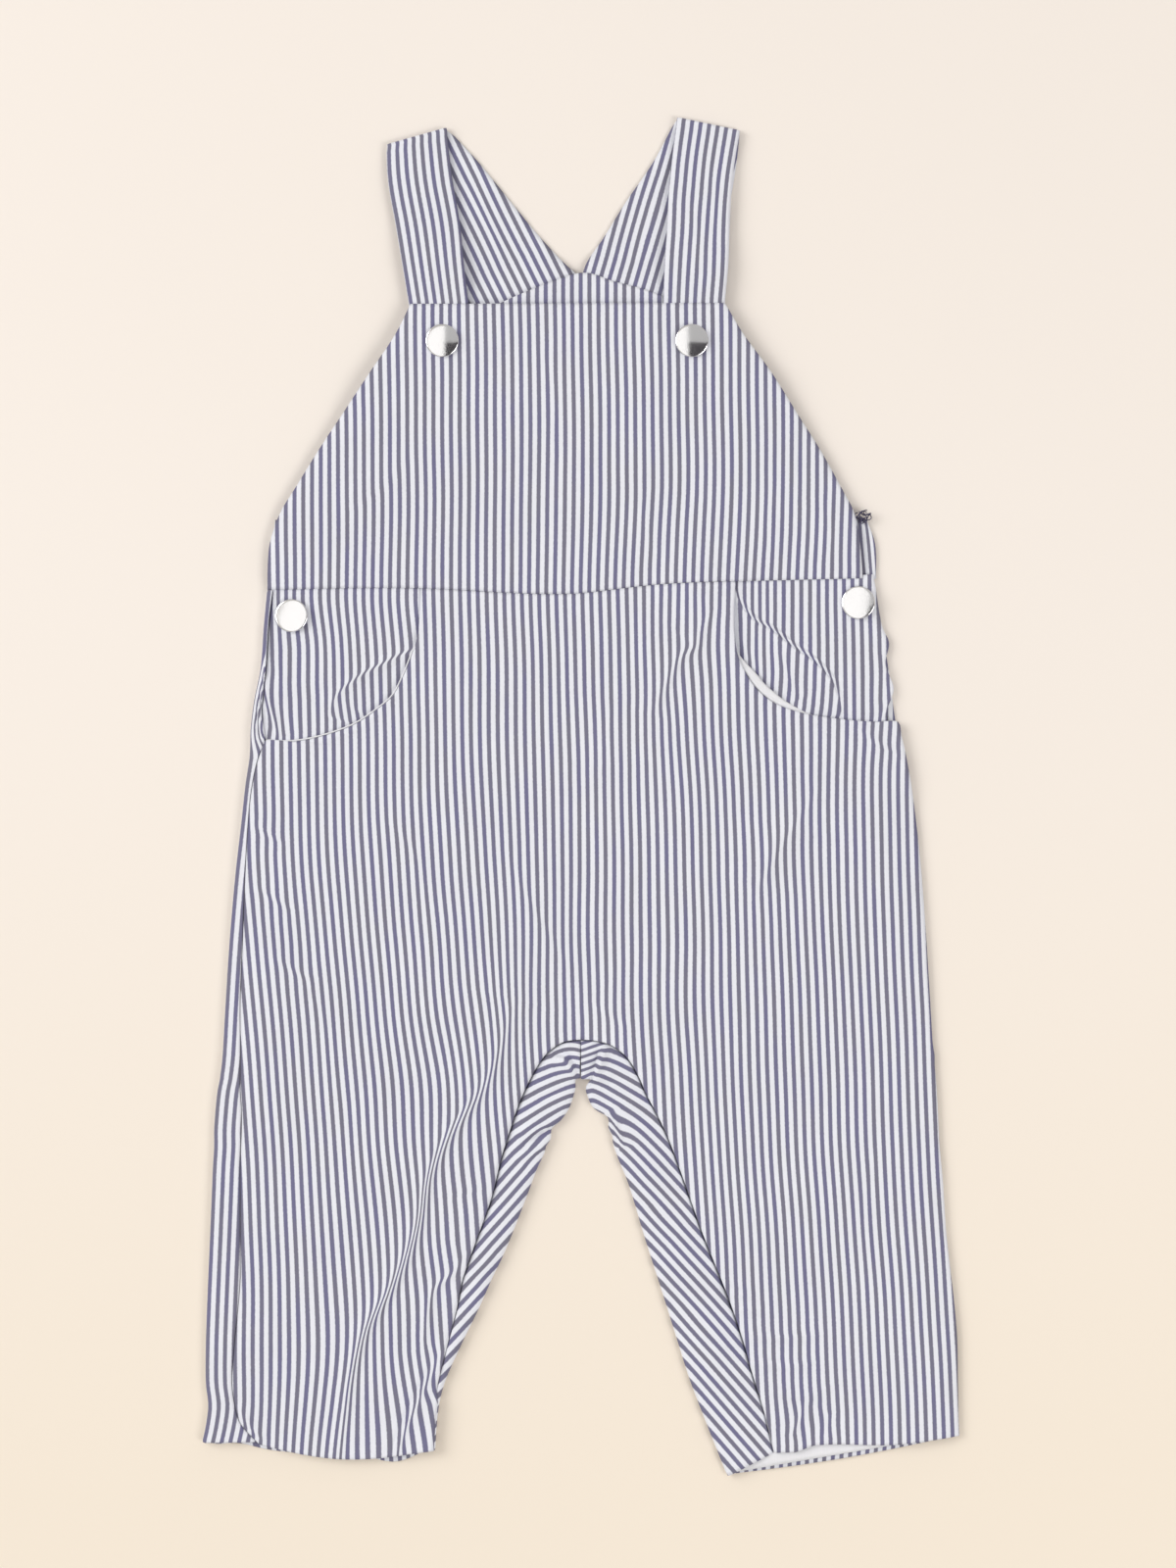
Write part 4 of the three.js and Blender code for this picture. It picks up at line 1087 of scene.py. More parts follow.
def handling_group() -> bpy.types.NodeTree:
    """Group of slow changes over what has been handled: two noises of about 20 and 4 mm give a
    soft shade, a roughness and a small relief.

    Returns:
        The group's tree.
    """
    group = Group("Handled surface", {"Vector": ("Vector", None)},
                  {"Shade": "Float", "Roughness": "Float", "Height": "Float"})
    slow = group.noise(group.given["Vector"], 38.0, 2.0)
    quick = group.noise(group.given["Vector"], 210.0, 3.0)
    shade, rough, height = (
        group.math("MULTIPLY_ADD", quick, fine, group.math("MULTIPLY_ADD", slow, coarse, base))
        for fine, coarse, base in ((0.03, 0.07, 0.945), (0.06, 0.14, 0.74), (0.25, 1.0, 0.0)))
    return group.give(Shade=shade, Roughness=rough, Height=height)


class Finish(Nodes):
    """Nodes of one new material round its surface shader."""

    groups: dict = {}

    def __init__(self, name: str) -> None:
        """Makes the material, with object coordinates at hand.

        Args:
            name: Name of the material.
        """
        self.material = bpy.data.materials.new(name)
        self.material.use_nodes = True
        super().__init__(self.material.node_tree)
        self.place = self.add("ShaderNodeTexCoord", {})["Object"]

    def group(self, maker: Callable, inputs: dict) -> bpy.types.NodeOutputs:
        """Places a shared group, which is made the first time.

        Args:
            maker: Function that makes the group.
            inputs: Socket or value for each of its inputs.

        Returns:
            The group's outputs.
        """
        if maker not in Finish.groups:
            Finish.groups[maker] = maker()
        return self.add("ShaderNodeGroup", inputs, node_tree=Finish.groups[maker])

    def scaled(self, colour: object, *shades: Socket) -> Socket:
        """A colour times each of some shades.

        Args:
            colour: Socket or colour.
            shades: Sockets from 0 to 1.

        Returns:
            The darkened colour.
        """
        for shade in shades:
            grey = self.add("ShaderNodeCombineColor", {slot: shade for slot in range(3)})[0]
            colour = self.mix(1.0, colour, grey, "MULTIPLY")
        return colour

    def surface(self, inputs: dict, *bumps: tuple[Socket, float]) -> bpy.types.Material:
        """Feeds the surface shader and adds bumps, one after the other.

        Args:
            inputs: Socket or value for each of the shader's inputs.
            bumps: Height socket and depth in metres of each.

        Returns:
            The material.
        """
        normal = None
        for height, depth in bumps:
            parts = {"Height": height, "Distance": depth, "Normal": normal}
            normal = self.add("ShaderNodeBump", parts)["Normal"]
        shader = self.find("BSDF_PRINCIPLED")
        for label, value in {**inputs, "Normal": normal}.items():
            self.feed(shader.inputs[label], value)
        return self.material


@dataclass(frozen=True)
class WovenCotton:
    """Cotton in a plain weave, yarn-dyed in stripes or plain."""

    name: str
    dark: tuple = (0.178, 0.174, 0.300, 1)
    dark_grey: tuple = (0.198, 0.194, 0.262, 1)
    light: tuple = (0.852, 0.875, 0.95, 1)
    pitch: float = STRIPE_PITCH * MM
    dark_share: float = 0.475
    softness: float = 0.06
    thread: float = 0.00042
    striped: bool = True

    def make(self) -> bpy.types.Material:
        """Stripes times the weave's painted shade between threads times handling, with the weave's
        threads as fine relief.

        Returns:
            The material.
        """
        finish = Finish(self.name)
        cloth = finish.add("ShaderNodeUVMap", {}, uv_map="cloth")["UV"]
        weave = finish.group(weave_group, {"Vector": cloth, "Thread": self.thread})
        handled = finish.group(handling_group, {"Vector": finish.place})
        if self.striped:
            colour = finish.group(ticking_group, {
                "Vector": cloth, "Pitch": self.pitch, "Dark share": self.dark_share,
                "Softness": self.softness, "Dark": self.dark, "Dark grey": self.dark_grey,
                "Light": self.light})["Color"]
        else:
            shaded = tuple(0.97 * part for part in self.light)
            colour = finish.mix(handled["Shade"], shaded, self.light)
        # The weave's shade darkens the colour as painted shade in the hollows between threads
        return finish.surface(
            {"Base Color": finish.scaled(colour, weave["Shade"], handled["Shade"]),
             "Roughness": handled["Roughness"], "Sheen Weight": 0.08, "Specular IOR Level": 0.25},
            (handled["Height"], 0.0006), (weave["Height"], 0.00007))


@dataclass(frozen=True)
class PolishedMetal:
    """Polished silver-coloured metal with hairline marks from wear."""

    name: str
    colour: tuple = (0.88, 0.88, 0.89, 1)

    def make(self) -> bpy.types.Material:
        """Bright metal whose roughness and relief follow long fine scratches and soft dents.

        Returns:
            The material.
        """
        finish = Finish(self.name)
        stretch = {"Vector": finish.place, "Rotation": (0.0, 0.0, 0.4), "Scale": (9000.0, 500.0, 500.0)}
        scratch = finish.noise(finish.add("ShaderNodeMapping", stretch)[0], 1.0)
        handled = finish.group(handling_group, {"Vector": finish.place})
        return finish.surface(
            {"Base Color": finish.scaled(self.colour, handled["Shade"]),
             "Roughness": finish.ramp(scratch, 0.35, 0.75, (0.06, 0.2)), "Metallic": 1.0},
            (handled["Height"], 0.00012), (scratch, 0.000004))


@dataclass(frozen=True)
class SewingThread:
    """Twisted cotton thread."""

    name: str
    colour: tuple = (0.06, 0.055, 0.11, 1)

    def make(self) -> bpy.types.Material:
        """A colour with the handling's shade and relief.

        Returns:
            The material.
        """
        finish = Finish(self.name)
        handled = finish.group(handling_group, {"Vector": finish.place})
        return finish.surface({"Base Color": finish.scaled(self.colour, handled["Shade"]),
                               "Roughness": handled["Roughness"]}, (handled["Height"], 0.0002))


@dataclass(frozen=True)
class PaleTable:
    """Plain warm table top that grows a little deeper towards the hems."""

    name: str
    top: tuple = (0.87, 0.815, 0.76, 1)
    bottom: tuple = (0.86, 0.778, 0.665, 1)

    def make(self) -> bpy.types.Material:
        """Two colours mixed down the page with a faint mottling.

        Returns:
            The material.
        """
        finish = Finish(self.name)
        fade = finish.ramp(finish.split(finish.place)[1], 0.12, -0.36, kind="SMOOTHSTEP")
        mottle = finish.ramp(finish.noise(finish.place, 6.0), 0.0, 1.0, (0.985, 1.0))
        colour = finish.scaled(finish.mix(fade, self.top, self.bottom), mottle)
        return finish.surface({"Base Color": colour, "Roughness": 0.9, "Specular IOR Level": 0.15})


class Wardrobe:
    """The finishes of the garment, each made once, and how pieces get them."""

    def __init__(self) -> None:
        """Makes every material."""
        self.striped = WovenCotton("ticking cotton").make()
        white = (0.87, 0.88, 0.92, 1)
        self.lining = WovenCotton("white lining cotton", light=white, striped=False).make()
        self.metal = PolishedMetal("polished silver").make()
        self.thread = SewingThread("dark sewing thread").make()
        self.table = PaleTable("pale table").make()

    def dress(self, piece: bpy.types.Object, material: bpy.types.Material, slot: Slot,
              *nodes: str) -> bpy.types.Object:
        """Gives a piece its finish, its body and the CAD nodes that it stands for.

        Args:
            piece: The new piece.
            material: Its finish.
            slot: Not used.
            nodes: Names of the nodes it replaces.

        Returns:
            The same piece.
        """
        piece.data.materials.append(material)
        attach(piece, "root")
        if nodes:
            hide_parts(*nodes)
        LOG.info("%s: %d faces, stands for %s", piece.name, len(piece.data.polygons),
                 ", ".join(nodes) or "no node")
        return piece

    def cut(self, name: str, patches: list[Patch], node: str, wall: float = WALL,
            lining: bool = False) -> bpy.types.Object:
        """Makes a piece of cloth and dresses it.

        Args:
            name: Name of the piece.
            patches: Its grids.
            node: Name of the node it replaces.
            wall: How thick the cloth is.
            lining: Whether it is white lining.

        Returns:
            The piece.
        """
        piece = ClothMesh(wall).build(name, patches)
        material, slot = (self.lining, Slot.LINING) if lining else (self.striped, Slot.STRIPED)
        return self.dress(piece, material, slot, node)


@dataclass
class TrousersFront:
    """Front of the trousers, one cloth from the waist to both hems."""

    step: float = 1.9
    leg_step: float = 1.35
    columns: int = 80
    drop_share: float = 0.12
    drop_below: tuple = (-8.0, 10.0)
    pucker_depth: float = 0.14
    pucker_pitch: float = 5.5
    seam_sink: float = 0.15
    slip_from: tuple = (250.0, 258.0)
    slip_share: tuple = (0.86, 1.0)
    slip: float = 1.9
    slip_rise: float = 0.8

    def _height(self, x: Array, y: Array, share: Array) -> Array:
        """Third layer with its creases, easing down a layer onto the back at the right side.

        Args:
            x: Millimetres to the right.
            y: Millimetres up the page.
            share: Shares across of the columns.

        Returns:
            Heights in millimetres.
        """
        low = 1 - smoothstep(y, *self.drop_below)
        near = np.where(x > 0, 1 - smoothstep(share, 0, self.drop_share), 0.0)
        soft = smoothstep(share, 0.0, self.drop_share / 2)
        away = WAIST_Y - y
        seam = pucker(x, away, self.pucker_depth, self.pucker_pitch)
        seam -= self.seam_sink * bell(away - 0.5, SINK_REACH)
        return THIRD + drape(x, y) * soft + FRONT_CREASES.height(x, y) - LAYER * near * low + seam

    def _patch(self, side: Side, first: Curve, second: Curve, places: Array,
               bow: Array | None = None) -> Patch:
        """One quarter of the front between two edges, with its stripes from the grain table. A
        leg bows at its hem, and the left one's slips a little towards the inseam.

        Args:
            side: Side of the garment.
            first: Outer edge.
            second: Inner edge.
            places: Where the rows lie.
            bow: How far a leg's rows bow down the page.

        Returns:
            The grid.
        """
        flat, share = ruled(first, second, places, self.columns, FRONT_CREASES.focus)
        x, level = flat[..., 0], flat[..., 1]
        if bow is None:
            y = level - waist_dip(x, level)
        else:
            y = level + (hem_lift(x, level) - bow[:, None] * np.sin(np.pi * share))
        over = smoothstep(-y, *self.slip_from) * smoothstep(share, *self.slip_share) * (x < 0)
        rise = self._height(x, y, share) + self.slip_rise * over
        u = FRONT_GRAIN.across(x, level) + FRONT_CREASES.pull(x, level) + wander(x, y)
        order = slice(None, None, -1 if side is Side.RIGHT else 1)
        return Patch(np.stack([x + self.slip * over, y, rise], axis=-1)[:, order],
                     np.stack([u, y], axis=-1)[:, order])

    def build(self, wardrobe: Wardrobe) -> bpy.types.Object:
        """Four grids that meet at the middle line and the crotch.

        Args:
            wardrobe: The finishes.

        Returns:
            The piece.
        """
        middle_y = BODY_ROWS.column("midY")
        middle = Curve(np.column_stack([np.zeros(len(middle_y)), middle_y]))
        edges = [BODY_ROWS.curve(side.word) for side in Side]
        places = stations([*edges, middle], self.step)
        patches = [self._patch(side, edge, middle, places)
                   for side, edge in zip(Side, edges, strict=True)]
        for side in Side:
            edge, inseam = LEGS[side].curve("side"), LEGS[side].curve("inseam")
            places = stations([edge, inseam], self.leg_step)
            patches.append(self._patch(side, edge, inseam, places, bow_at(LEGS[side], places)))
        return wardrobe.cut("trousers_front", patches, "front_trousers")


def hem_lift(x: Array, y: Array) -> Array:
    """How far the right leg's front hem is drawn up beside the inseam: a steep rise and a long
    fall across, fading out within 27 mm above the hem.

    Args:
        x: Millimetres to the right.
        y: Millimetres up the page.

    Returns:
        Millimetres up the page.
    """
    highest, rising, falling, fading = 2.7, (90, 100), (104, 138), (246, 273)
    across = smoothstep(x, *rising) * (1 - smoothstep(x, *falling))
    return highest * across * smoothstep(-y, *fading)


def bow_at(table: Table, places: Array) -> Array:
    """Bow of a leg's rows at each place, along a smooth curve through the table's numbers."""
    bows = table.column("bow")
    return Curve(np.column_stack([np.arange(len(bows)), bows])).at(places)[:, 1]


@dataclass
class TrousersBack:
    """One half of the trousers' back, rolled over the inner leg and back to the inseam.

    The guide, lean and turn give a number for each of some heights: the middle of the returned
    cloth, the sine of its stripes' slope, and the line that they bend round near the crotch.
    """

    side: Side
    step: float = 1.3
    back_columns: int = 40
    return_columns: int = 24
    strip_columns: int = 8
    crown: float = 0.7
    crown_full_at: float = 12.0
    seam_gap: float = 0.3
    half_seam: float = 0.06
    narrowest_strip: float = 2.1
    guide: tuple = ((-104, 4.0), (-112, 9.5), (-122, 14.5), (-131, 19.0), (-141, 22.5), (-154, 27.0),
                    (-169, 31.0), (-193, 39.5), (-217, 48.5), (-248, 59.0), (-290, 70.0))
    lean: tuple = ((-104, 0.34), (-119, 0.41), (-130, 0.48), (-138, 0.56), (-145, 0.66), (-152, 0.73),
                   (-162, 0.76), (-190, 0.745), (-290, 0.745))
    turn: tuple = ((-121.0, 1.0), (-112.0, 2.5), (-104.0, 4.0))
    roundness: float = 4.0
    notch: float = -141.5
    edge_phase: float = -150.4
    seam_depths: tuple = (0.35, 0.75)
    seam_room: tuple = (4.0, 12.0)
    bunched: tuple = (16.0, 30.0, 50.0, 62.0)
    bunch_pitch: float = 2.1
    bunch_rise: float = 0.35
    bunch_pull: float = 1.3
    hem: tuple = (258.0, 277.0)

    def _apart(self, x: Array) -> Array:
        """X kept off the middle line by half a seam."""
        sign = self.side.value
        return sign * np.maximum(sign * x, self.half_seam)

    def _returned_cloth(self, points: Array) -> Array:
        """Cloth coordinates of what has rolled over the inner leg. Its stripes keep their
        pitch but lean: going outwards they fall by the lean, the sine of their slope, and going
        down the guide line they grow by the cosine. Near the crotch they bend round a line.

        Args:
            points: Places on the rolled cloth.

        Returns:
            Cloth coordinates, across and along.
        """
        x, y = points[..., 0] * self.side.value, points[..., 1]
        guide, lean, turn = (np.array(rows) for rows in (self.guide, self.lean, self.turn))
        down = np.linspace(95, 300, 411)
        middle = np.interp(down, -guide[:, 0], guide[:, 1])
        sine = np.interp(down, -lean[:, 0], lean[:, 1])
        grown = np.cumsum(np.sqrt(1 - sine**2) * (down[1] - down[0]) - sine * np.gradient(middle))
        at_middle, at_sine, at_grown = (np.interp(-y, down, known) for known in (middle, sine, grown))
        bend = np.interp(y, turn[:, 0], turn[:, 1])
        bent = bend + np.sqrt((x - bend) ** 2 + self.roundness**2)
        u = at_grown - at_sine * (bent - at_middle) + RETURN_CREASES.pull(points[..., 0], y)
        v = y - np.sqrt(1 - at_sine**2) * (x - at_middle)
        return np.stack([self.side.value * u, v], axis=-1)

    def _notched(self, y: Array) -> Array:
        """How far the folded edge below the crotch draws in: two short bells, and a lobe above."""
        away = y - self.notch
        return 1.3 * bell(away, 2.4) + 0.8 * bell(away + 7, 2.2) - 0.9 * bell(away - 13, 6.0)

    def _hem_drop(self, points: Array) -> Array:
        """How far the left leg's back hem slips below the front's: a bell across, less a little
        at the side. The rolled strip stays.

        Args:
            points: Places on the rows.

        Returns:
            Millimetres down the page, all 0 on the right side.
        """
        x = points[..., 0]
        fall = 4.8 * bell(x + 78, 12) - 1.5 * smoothstep(x, -156, -146) - 0.9 * bell(x + 143, 7)
        fall *= np.arange(points.shape[1]) <= self.back_columns
        return fall * smoothstep(-points[..., 1], *self.hem) * (self.side is Side.LEFT)

    def _bunched(self, y: Array) -> Array:
        """Where the back's edge is bunched up beside the left pocket, from 0 to 1."""
        return smoothstep(y, *self.bunched[:2]) * (1 - smoothstep(y, *self.bunched[2:]))

    def _outer(self, outline: Array, inward: Array) -> Array:
        """Left edge rolled up to the front's side seam: bottom of the roll, round, and a strip.

        Args:
            outline: Points on the outer line.
            inward: Unit directions into the cloth.

        Returns:
            Points, n by columns by 3.
        """
        reach = np.maximum(side_seam().x_at(outline[:, 1]) - self.seam_gap,
                           outline[:, 0] + self.narrowest_strip)
        around = rolled(outline, inward, ROLL_RADIUS)[:, ::-1]
        end = np.column_stack([reach, outline[:, 1], np.full(len(reach), THIRD)])
        return np.concatenate([around, run(around[:, -1], end, self.strip_columns)], axis=1)

    def _under(self, start: Array, outline: Curve, places: Array) -> Array:
        """Rows on the table from a start to the outline, with the left side's roll at the end.

        Args:
            start: First points of the rows.
            outline: Outer edge.
            places: Where the rows meet it.

        Returns:
            Points, rows by columns by 3.
        """
        ends = outline.at(places)
        if self.side is Side.LEFT:
            tail = self._outer(ends, -self.side.across(outline.tangents(places)))
        else:
            tail = lifted(ends, np.full(len(ends), FIRST))[:, None]
        flat = run(start, tail[:, 0], self.back_columns)
        rows = np.concatenate([start[:, None], flat, tail[:, 1:]], axis=1)
        x, y = rows[..., 0], rows[..., 1]
        number = np.arange(rows.shape[1])[None]
        rise = np.where(number <= self.back_columns, 0.5 * BACK_CREASES.height(x, y), 0)
        phase = 2 * np.pi * (x + 0.12 * y) / self.bunch_pitch
        wave = self.bunch_rise * np.sin(phase) * self._bunched(y)
        rows[..., 2] += rise + np.where(number > self.back_columns + ROLL_STEPS, wave, 0)
        return rows

    def _rows_cloth(self, rows: Array) -> Array:
        """Cloth coordinates by the length of cloth along each row from its start. On the left
        side they shift, so that the folded edge shows the same stripe all the way down.

        Args:
            rows: Places on the rows.

        Returns:
            Cloth coordinates, across and along.
        """
        y = rows[..., 1]
        steps = np.linalg.norm(np.diff(rows, axis=1), axis=2)
        along = np.concatenate([np.zeros((len(rows), 1)), np.cumsum(steps, axis=1)], axis=1)
        u = rows[:, :1, 0] + self.side.value * along
        if self.side is Side.LEFT:
            edge = self.back_columns + ROLL_STEPS // 2
            number = np.arange(rows.shape[1])
            gradual = smoothstep(number, 0.7 * self.back_columns, self.back_columns)
            beyond = np.maximum(along - along[:, edge:edge + 1], 0)
            u = u + (self.edge_phase - u[:, edge])[:, None] * gradual
            u = u - self.bunch_pull * beyond * self._bunched(y)
        return np.stack([u, y], axis=-1)

    def _returned(self, inseam: Array, around: Array) -> Array:
        """Rows on top of the leg, from beside the inseam to the roll at the folded edge.

        Args:
            inseam: Points of the front's inseam, n by 2.
            around: The roll.

        Returns:
            Points, rows by columns by 3, with the roll's.
        """
        edge = around[:, 0]
        seam = inseam + unit(edge[:, :2] - inseam, 1e-9) * self.seam_gap
        seam[:, 0] = self._apart(seam[:, 0])
        room = smoothstep(np.linalg.norm(seam - edge[:, :2], axis=1), *self.seam_room)
        seam = lifted(seam, THIRD - self.seam_depths[0] - self.seam_depths[1] * room)
        width = np.linalg.norm(seam - edge, axis=1)
        crown = self.crown * np.minimum(1, width / self.crown_full_at)
        rows = np.concatenate([seam[:, None], run(seam, edge, self.return_columns, crown)], axis=1)
        share = np.arange(rows.shape[1]) / self.return_columns
        fade = np.sin(np.pi * share) ** 0.3
        crease = RETURN_CREASES.height(rows[..., 0], rows[..., 1])
        full = np.minimum(1, width / (0.6 * self.crown_full_at))[:, None]
        rows[..., 2] += (crease + 0.5 * drape(rows[..., 0], rows[..., 1])) * fade[None] * full
        return np.concatenate([rows, around[:, 1:]], axis=1)

    def build(self, wardrobe: Wardrobe) -> bpy.types.Object:
        """Rows from the seam or fold to the outline, and the returned rows on top of the leg.

        Args:
            wardrobe: The finishes.

        Returns:
            The piece.
        """
        legs, body = LEGS[self.side], BACKS[self.side]
        fold, inseam, out = (legs.curve(name) for name in ("fold", "inseam", "out"))
        places = stations([inseam, out], self.step)
        inward = self.side.across(fold.tangents(places))
        edge = fold.at(places)
        around = rolled(edge + inward * self._notched(edge[:, 1])[:, None], inward, ROLL_RADIUS)
        around[..., 0] = self._apart(around[..., 0])
        above = self._returned(inseam.at(places), around)
        under = self._under(around[:, -1], out, places)
        bend = np.sin(np.pi * np.minimum(1, np.arange(under.shape[1]) / self.back_columns))
        under[..., 1] -= bow_at(legs, places)[:, None] * bend[None] + self._hem_drop(under)
        body_out = Curve(np.vstack([body.pair("out"), legs.pair("out")[:1]]))
        middle_y = body.column("midY")
        seam = np.column_stack([self._apart(np.zeros(len(middle_y))), middle_y])
        middle = Curve(np.vstack([seam, under[0, 0, :2]]))
        body_places = stations([middle, body_out], self.step)[:-1]
        start = lifted(middle.at(body_places), np.full(len(body_places), FIRST))
        bottom = np.concatenate([self._under(start, body_out, body_places), under])
        patches = [Patch(bottom, self._rows_cloth(bottom)), Patch(above, self._returned_cloth(above))]
        node = "back_" + self.side.word
        return wardrobe.cut("trousers_" + node, patches, node)


def side_seam() -> Curve:
    """Left side seam of the trousers' front, from the waist down to the hem."""
    return Curve(np.vstack([POCKET_LEFT_ROWS.pair("left")[:5],
                            BODY_ROWS.pair("left")[MOUTH_ROWS - 1:-1], LEFT_LEG_ROWS.pair("side")]))


@dataclass
class Bib:
    """Front bib, which climbs over the straps' ends and sinks at the armholes."""

    step: float = 1.8
    columns: int = 120
    climb: tuple = (112.0, 183.0)
    droop_share: float = 0.6
    droop_width: float = 20.0
    droop_end: tuple = (150.0, 176.0)
    edge_pucker: tuple = (0.13, 7.0)
    edge_sink: float = 0.2
    waist_pucker: tuple = (0.14, 5.0)
    waist_sink: float = 0.15
    pocket_sink: float = 0.55
    joint_gap: float = 0.04
    joint_fade: tuple = (93.0, 106.0)
    joint: tuple = ((-133.0, 87.3), (-67.5, 89.05), (0.0, 89.95), (66.0, 91.05), (120.0, 92.3))

    def _above(self, x: Array, y: Array) -> Array:
        """How far a place lies above the seam to the trousers."""
        joint = np.array(self.joint)
        return y - np.interp(x, joint[:, 0], joint[:, 1])

    def height(self, x: Array, y: Array) -> Array:
        """Third layer rising two layers between 112 and 183 mm, less near the open edges.

        Args:
            x: Millimetres to the right.
            y: Millimetres up the page.

        Returns:
            Heights in millimetres.
        """
        climb = smoothstep(y, *self.climb)
        left, right = BIB_ROWS.curve("left").x_at(y), BIB_ROWS.curve("right").x_at(y)
        inward = np.minimum(x - left, right - x)
        open_edge = 1 - smoothstep(inward, 0, self.droop_width)
        droop = self.droop_share * open_edge * (1 - smoothstep(y, *self.droop_end))
        away = np.minimum(inward, BIB_ROWS.column("leftY")[0] - y)
        edge = pucker(x + y, away, *self.edge_pucker) - self.edge_sink * bell(away, 1.5)
        above = self._above(x, y)
        outside = np.maximum(smoothstep(-x, 66, 78), smoothstep(x, 64, 76))
        waist = pucker(x + 2.0, above, *self.waist_pucker)
        waist -= self.waist_sink * bell(above, SINK_REACH)
        waist -= self.pocket_sink * outside * (1 - smoothstep(above, 0, 7))
        soft = smoothstep(away, -1.0, 9.0)
        return (THIRD + (FIFTH - THIRD) * climb * (1 - droop) + edge + waist
                + drape(x, y) * soft + BIB_CREASES.height(x, y) * soft)

    def build(self, wardrobe: Wardrobe) -> bpy.types.Object:
        """One grid between the bib's curved side edges.

        Args:
            wardrobe: The finishes.

        Returns:
            The piece.
        """
        flat, _ = BIB_ROWS.grid(self.step, self.columns)
        x, y = flat[..., 0], flat[..., 1]
        gap = self._above(x[-1:], y[-1:]) - self.joint_gap
        y = y - gap * (1 - smoothstep(y, *self.joint_fade))
        points = np.stack([x, y - waist_dip(x, y), self.height(x, y)], axis=-1)
        u = BIB_GRAIN.across(x, y) + BIB_CREASES.pull(x, y) + 1.2 * wander(x, y)
        return wardrobe.cut("bib_front", [Patch(points, np.stack([u, y], axis=-1))], "front_bib")


@dataclass
class Strap:
    """Strap sewn under the bib, folded at the shoulder, with its back stretch to the peak."""

    side: Side
    step: float = 1.8
    columns: int = 20
    width: float = 27.5
    first_stripe: float = 1.1
    climb: tuple = (216.0, 245.0)
    lift: float = 1.0
    lifted_at: tuple = (206.0, 232.0, 252.0, 276.0)
    crown: float = 0.25
    peak: tuple = (-1.5, 221.5)
    peak_slopes: tuple = (0.36, 0.28)
    back_angle: float = 64.0
    back_phase: float = 52.5

    def _front_height(self, y: Array, share: Array) -> Array:
        """Just over the back stretch at the shoulder, a fourth layer high under the bib.

        Args:
            y: Millimetres up the page.
            share: Shares across of the columns.

        Returns:
            Heights in millimetres.
        """
        climb = 1 - smoothstep(y, *self.climb)
        low = FIRST + 2 * SHOULDER_RADIUS
        falling = 1 - smoothstep(y, *self.lifted_at[2:])
        lift = self.lift * smoothstep(y, *self.lifted_at[:2]) * falling
        return low + (FOURTH - low) * climb + lift + self.crown * np.sin(np.pi * share) ** 0.5

    def _back_height(self, x: Array, y: Array) -> Array:
        """On the table, rising a layer onto the back near its peaked edge.

        Args:
            x: Millimetres to the right.
            y: Millimetres up the page.

        Returns:
            Heights in millimetres.
        """
        slope = np.where(x < self.peak[0], *self.peak_slopes)
        away = y - (self.peak[1] - slope * np.abs(x - self.peak[0]))
        return SECOND + (FIRST - SECOND) * smoothstep(away, 3, 14)

    def _cloth(self, points: Array, share: Array, on_back: bool) -> Array:
        """Stripes along the strap: across the front by its share of the width, and on the back
        by the distance across a fixed direction, steeper than the free edge, as the folded
        strap twists a little.

        Args:
            points: Places on the strap.
            share: Shares across of the columns.
            on_back: Whether the points are on the back stretch.

        Returns:
            Cloth coordinates, across and along.
        """
        x, y = points[..., 0], points[..., 1]
        if on_back:
            turn = math.radians(self.back_angle)
            sign = self.side.value
            u = -sign * math.sin(turn) * x + math.cos(turn) * y - self.back_phase
            v = sign * math.cos(turn) * x + math.sin(turn) * y
        else:
            u = np.broadcast_to(share * self.width, points.shape[:2]) - self.first_stripe
            v = y
        return np.stack([u + STRAP_CREASES.pull(x, y), v], axis=-1)

    def build(self, wardrobe: Wardrobe) -> bpy.types.Object:
        """Front rows up to the fold, the fold, and back rows down to the sewn end.

        Args:
            wardrobe: The finishes.

        Returns:
            The piece.
        """
        parts = []
        for table in STRAPS[self.side]:
            flat, share = table.grid(self.step, self.columns)
            x, y = flat[..., 0], flat[..., 1]
            rise = self._back_height(x, y) if parts else self._front_height(y, share)
            parts.append(lifted(flat, rise + STRAP_CREASES.height(x, y)))
        top = parts[1][0, :, :2]
        along = (top[-1] - top[0]) / np.linalg.norm(top[-1] - top[0])
        inward = np.array([along[1], -along[0]])
        around = rolled(top, np.broadcast_to(inward, top.shape), SHOULDER_RADIUS).transpose(1, 0, 2)
        clear = 2 * (SHOULDER_RADIUS + HALF_SOLID)
        front, back = (part[((part[..., :2] - top[0]) @ inward > clear).all(axis=1)] for part in parts)
        rows = (np.concatenate([front, around]), np.concatenate([around[-1:], back]))
        patches = [Patch(part, self._cloth(part, share[0], part is rows[1])) for part in rows]
        node = "strap_" + self.side.word
        return wardrobe.cut(node + "_cloth", patches, node)


@dataclass
class LevelPiece:
    """A piece of cloth that lies level between two edges of its table."""

    name: str
    node: str
    table: Table
    height: float
    edges: tuple = ("left", "right")
    step: float = 2.5
    columns: int = 60
    wall: float = WALL
    lining: bool = False

    def build(self, wardrobe: Wardrobe) -> bpy.types.Object:
        """One grid with a trace of unevenness.

        Args:
            wardrobe: The finishes.

        Returns:
            The piece.
        """
        flat, _ = self.table.grid(self.step, self.columns, edges=self.edges)
        rise = self.height + 0.12 * (drape(flat[..., 0], flat[..., 1]) - 0.33)
        patch = Patch(lifted(flat, rise), flat)
        return wardrobe.cut(self.name, [patch], self.node, self.wall, self.lining)


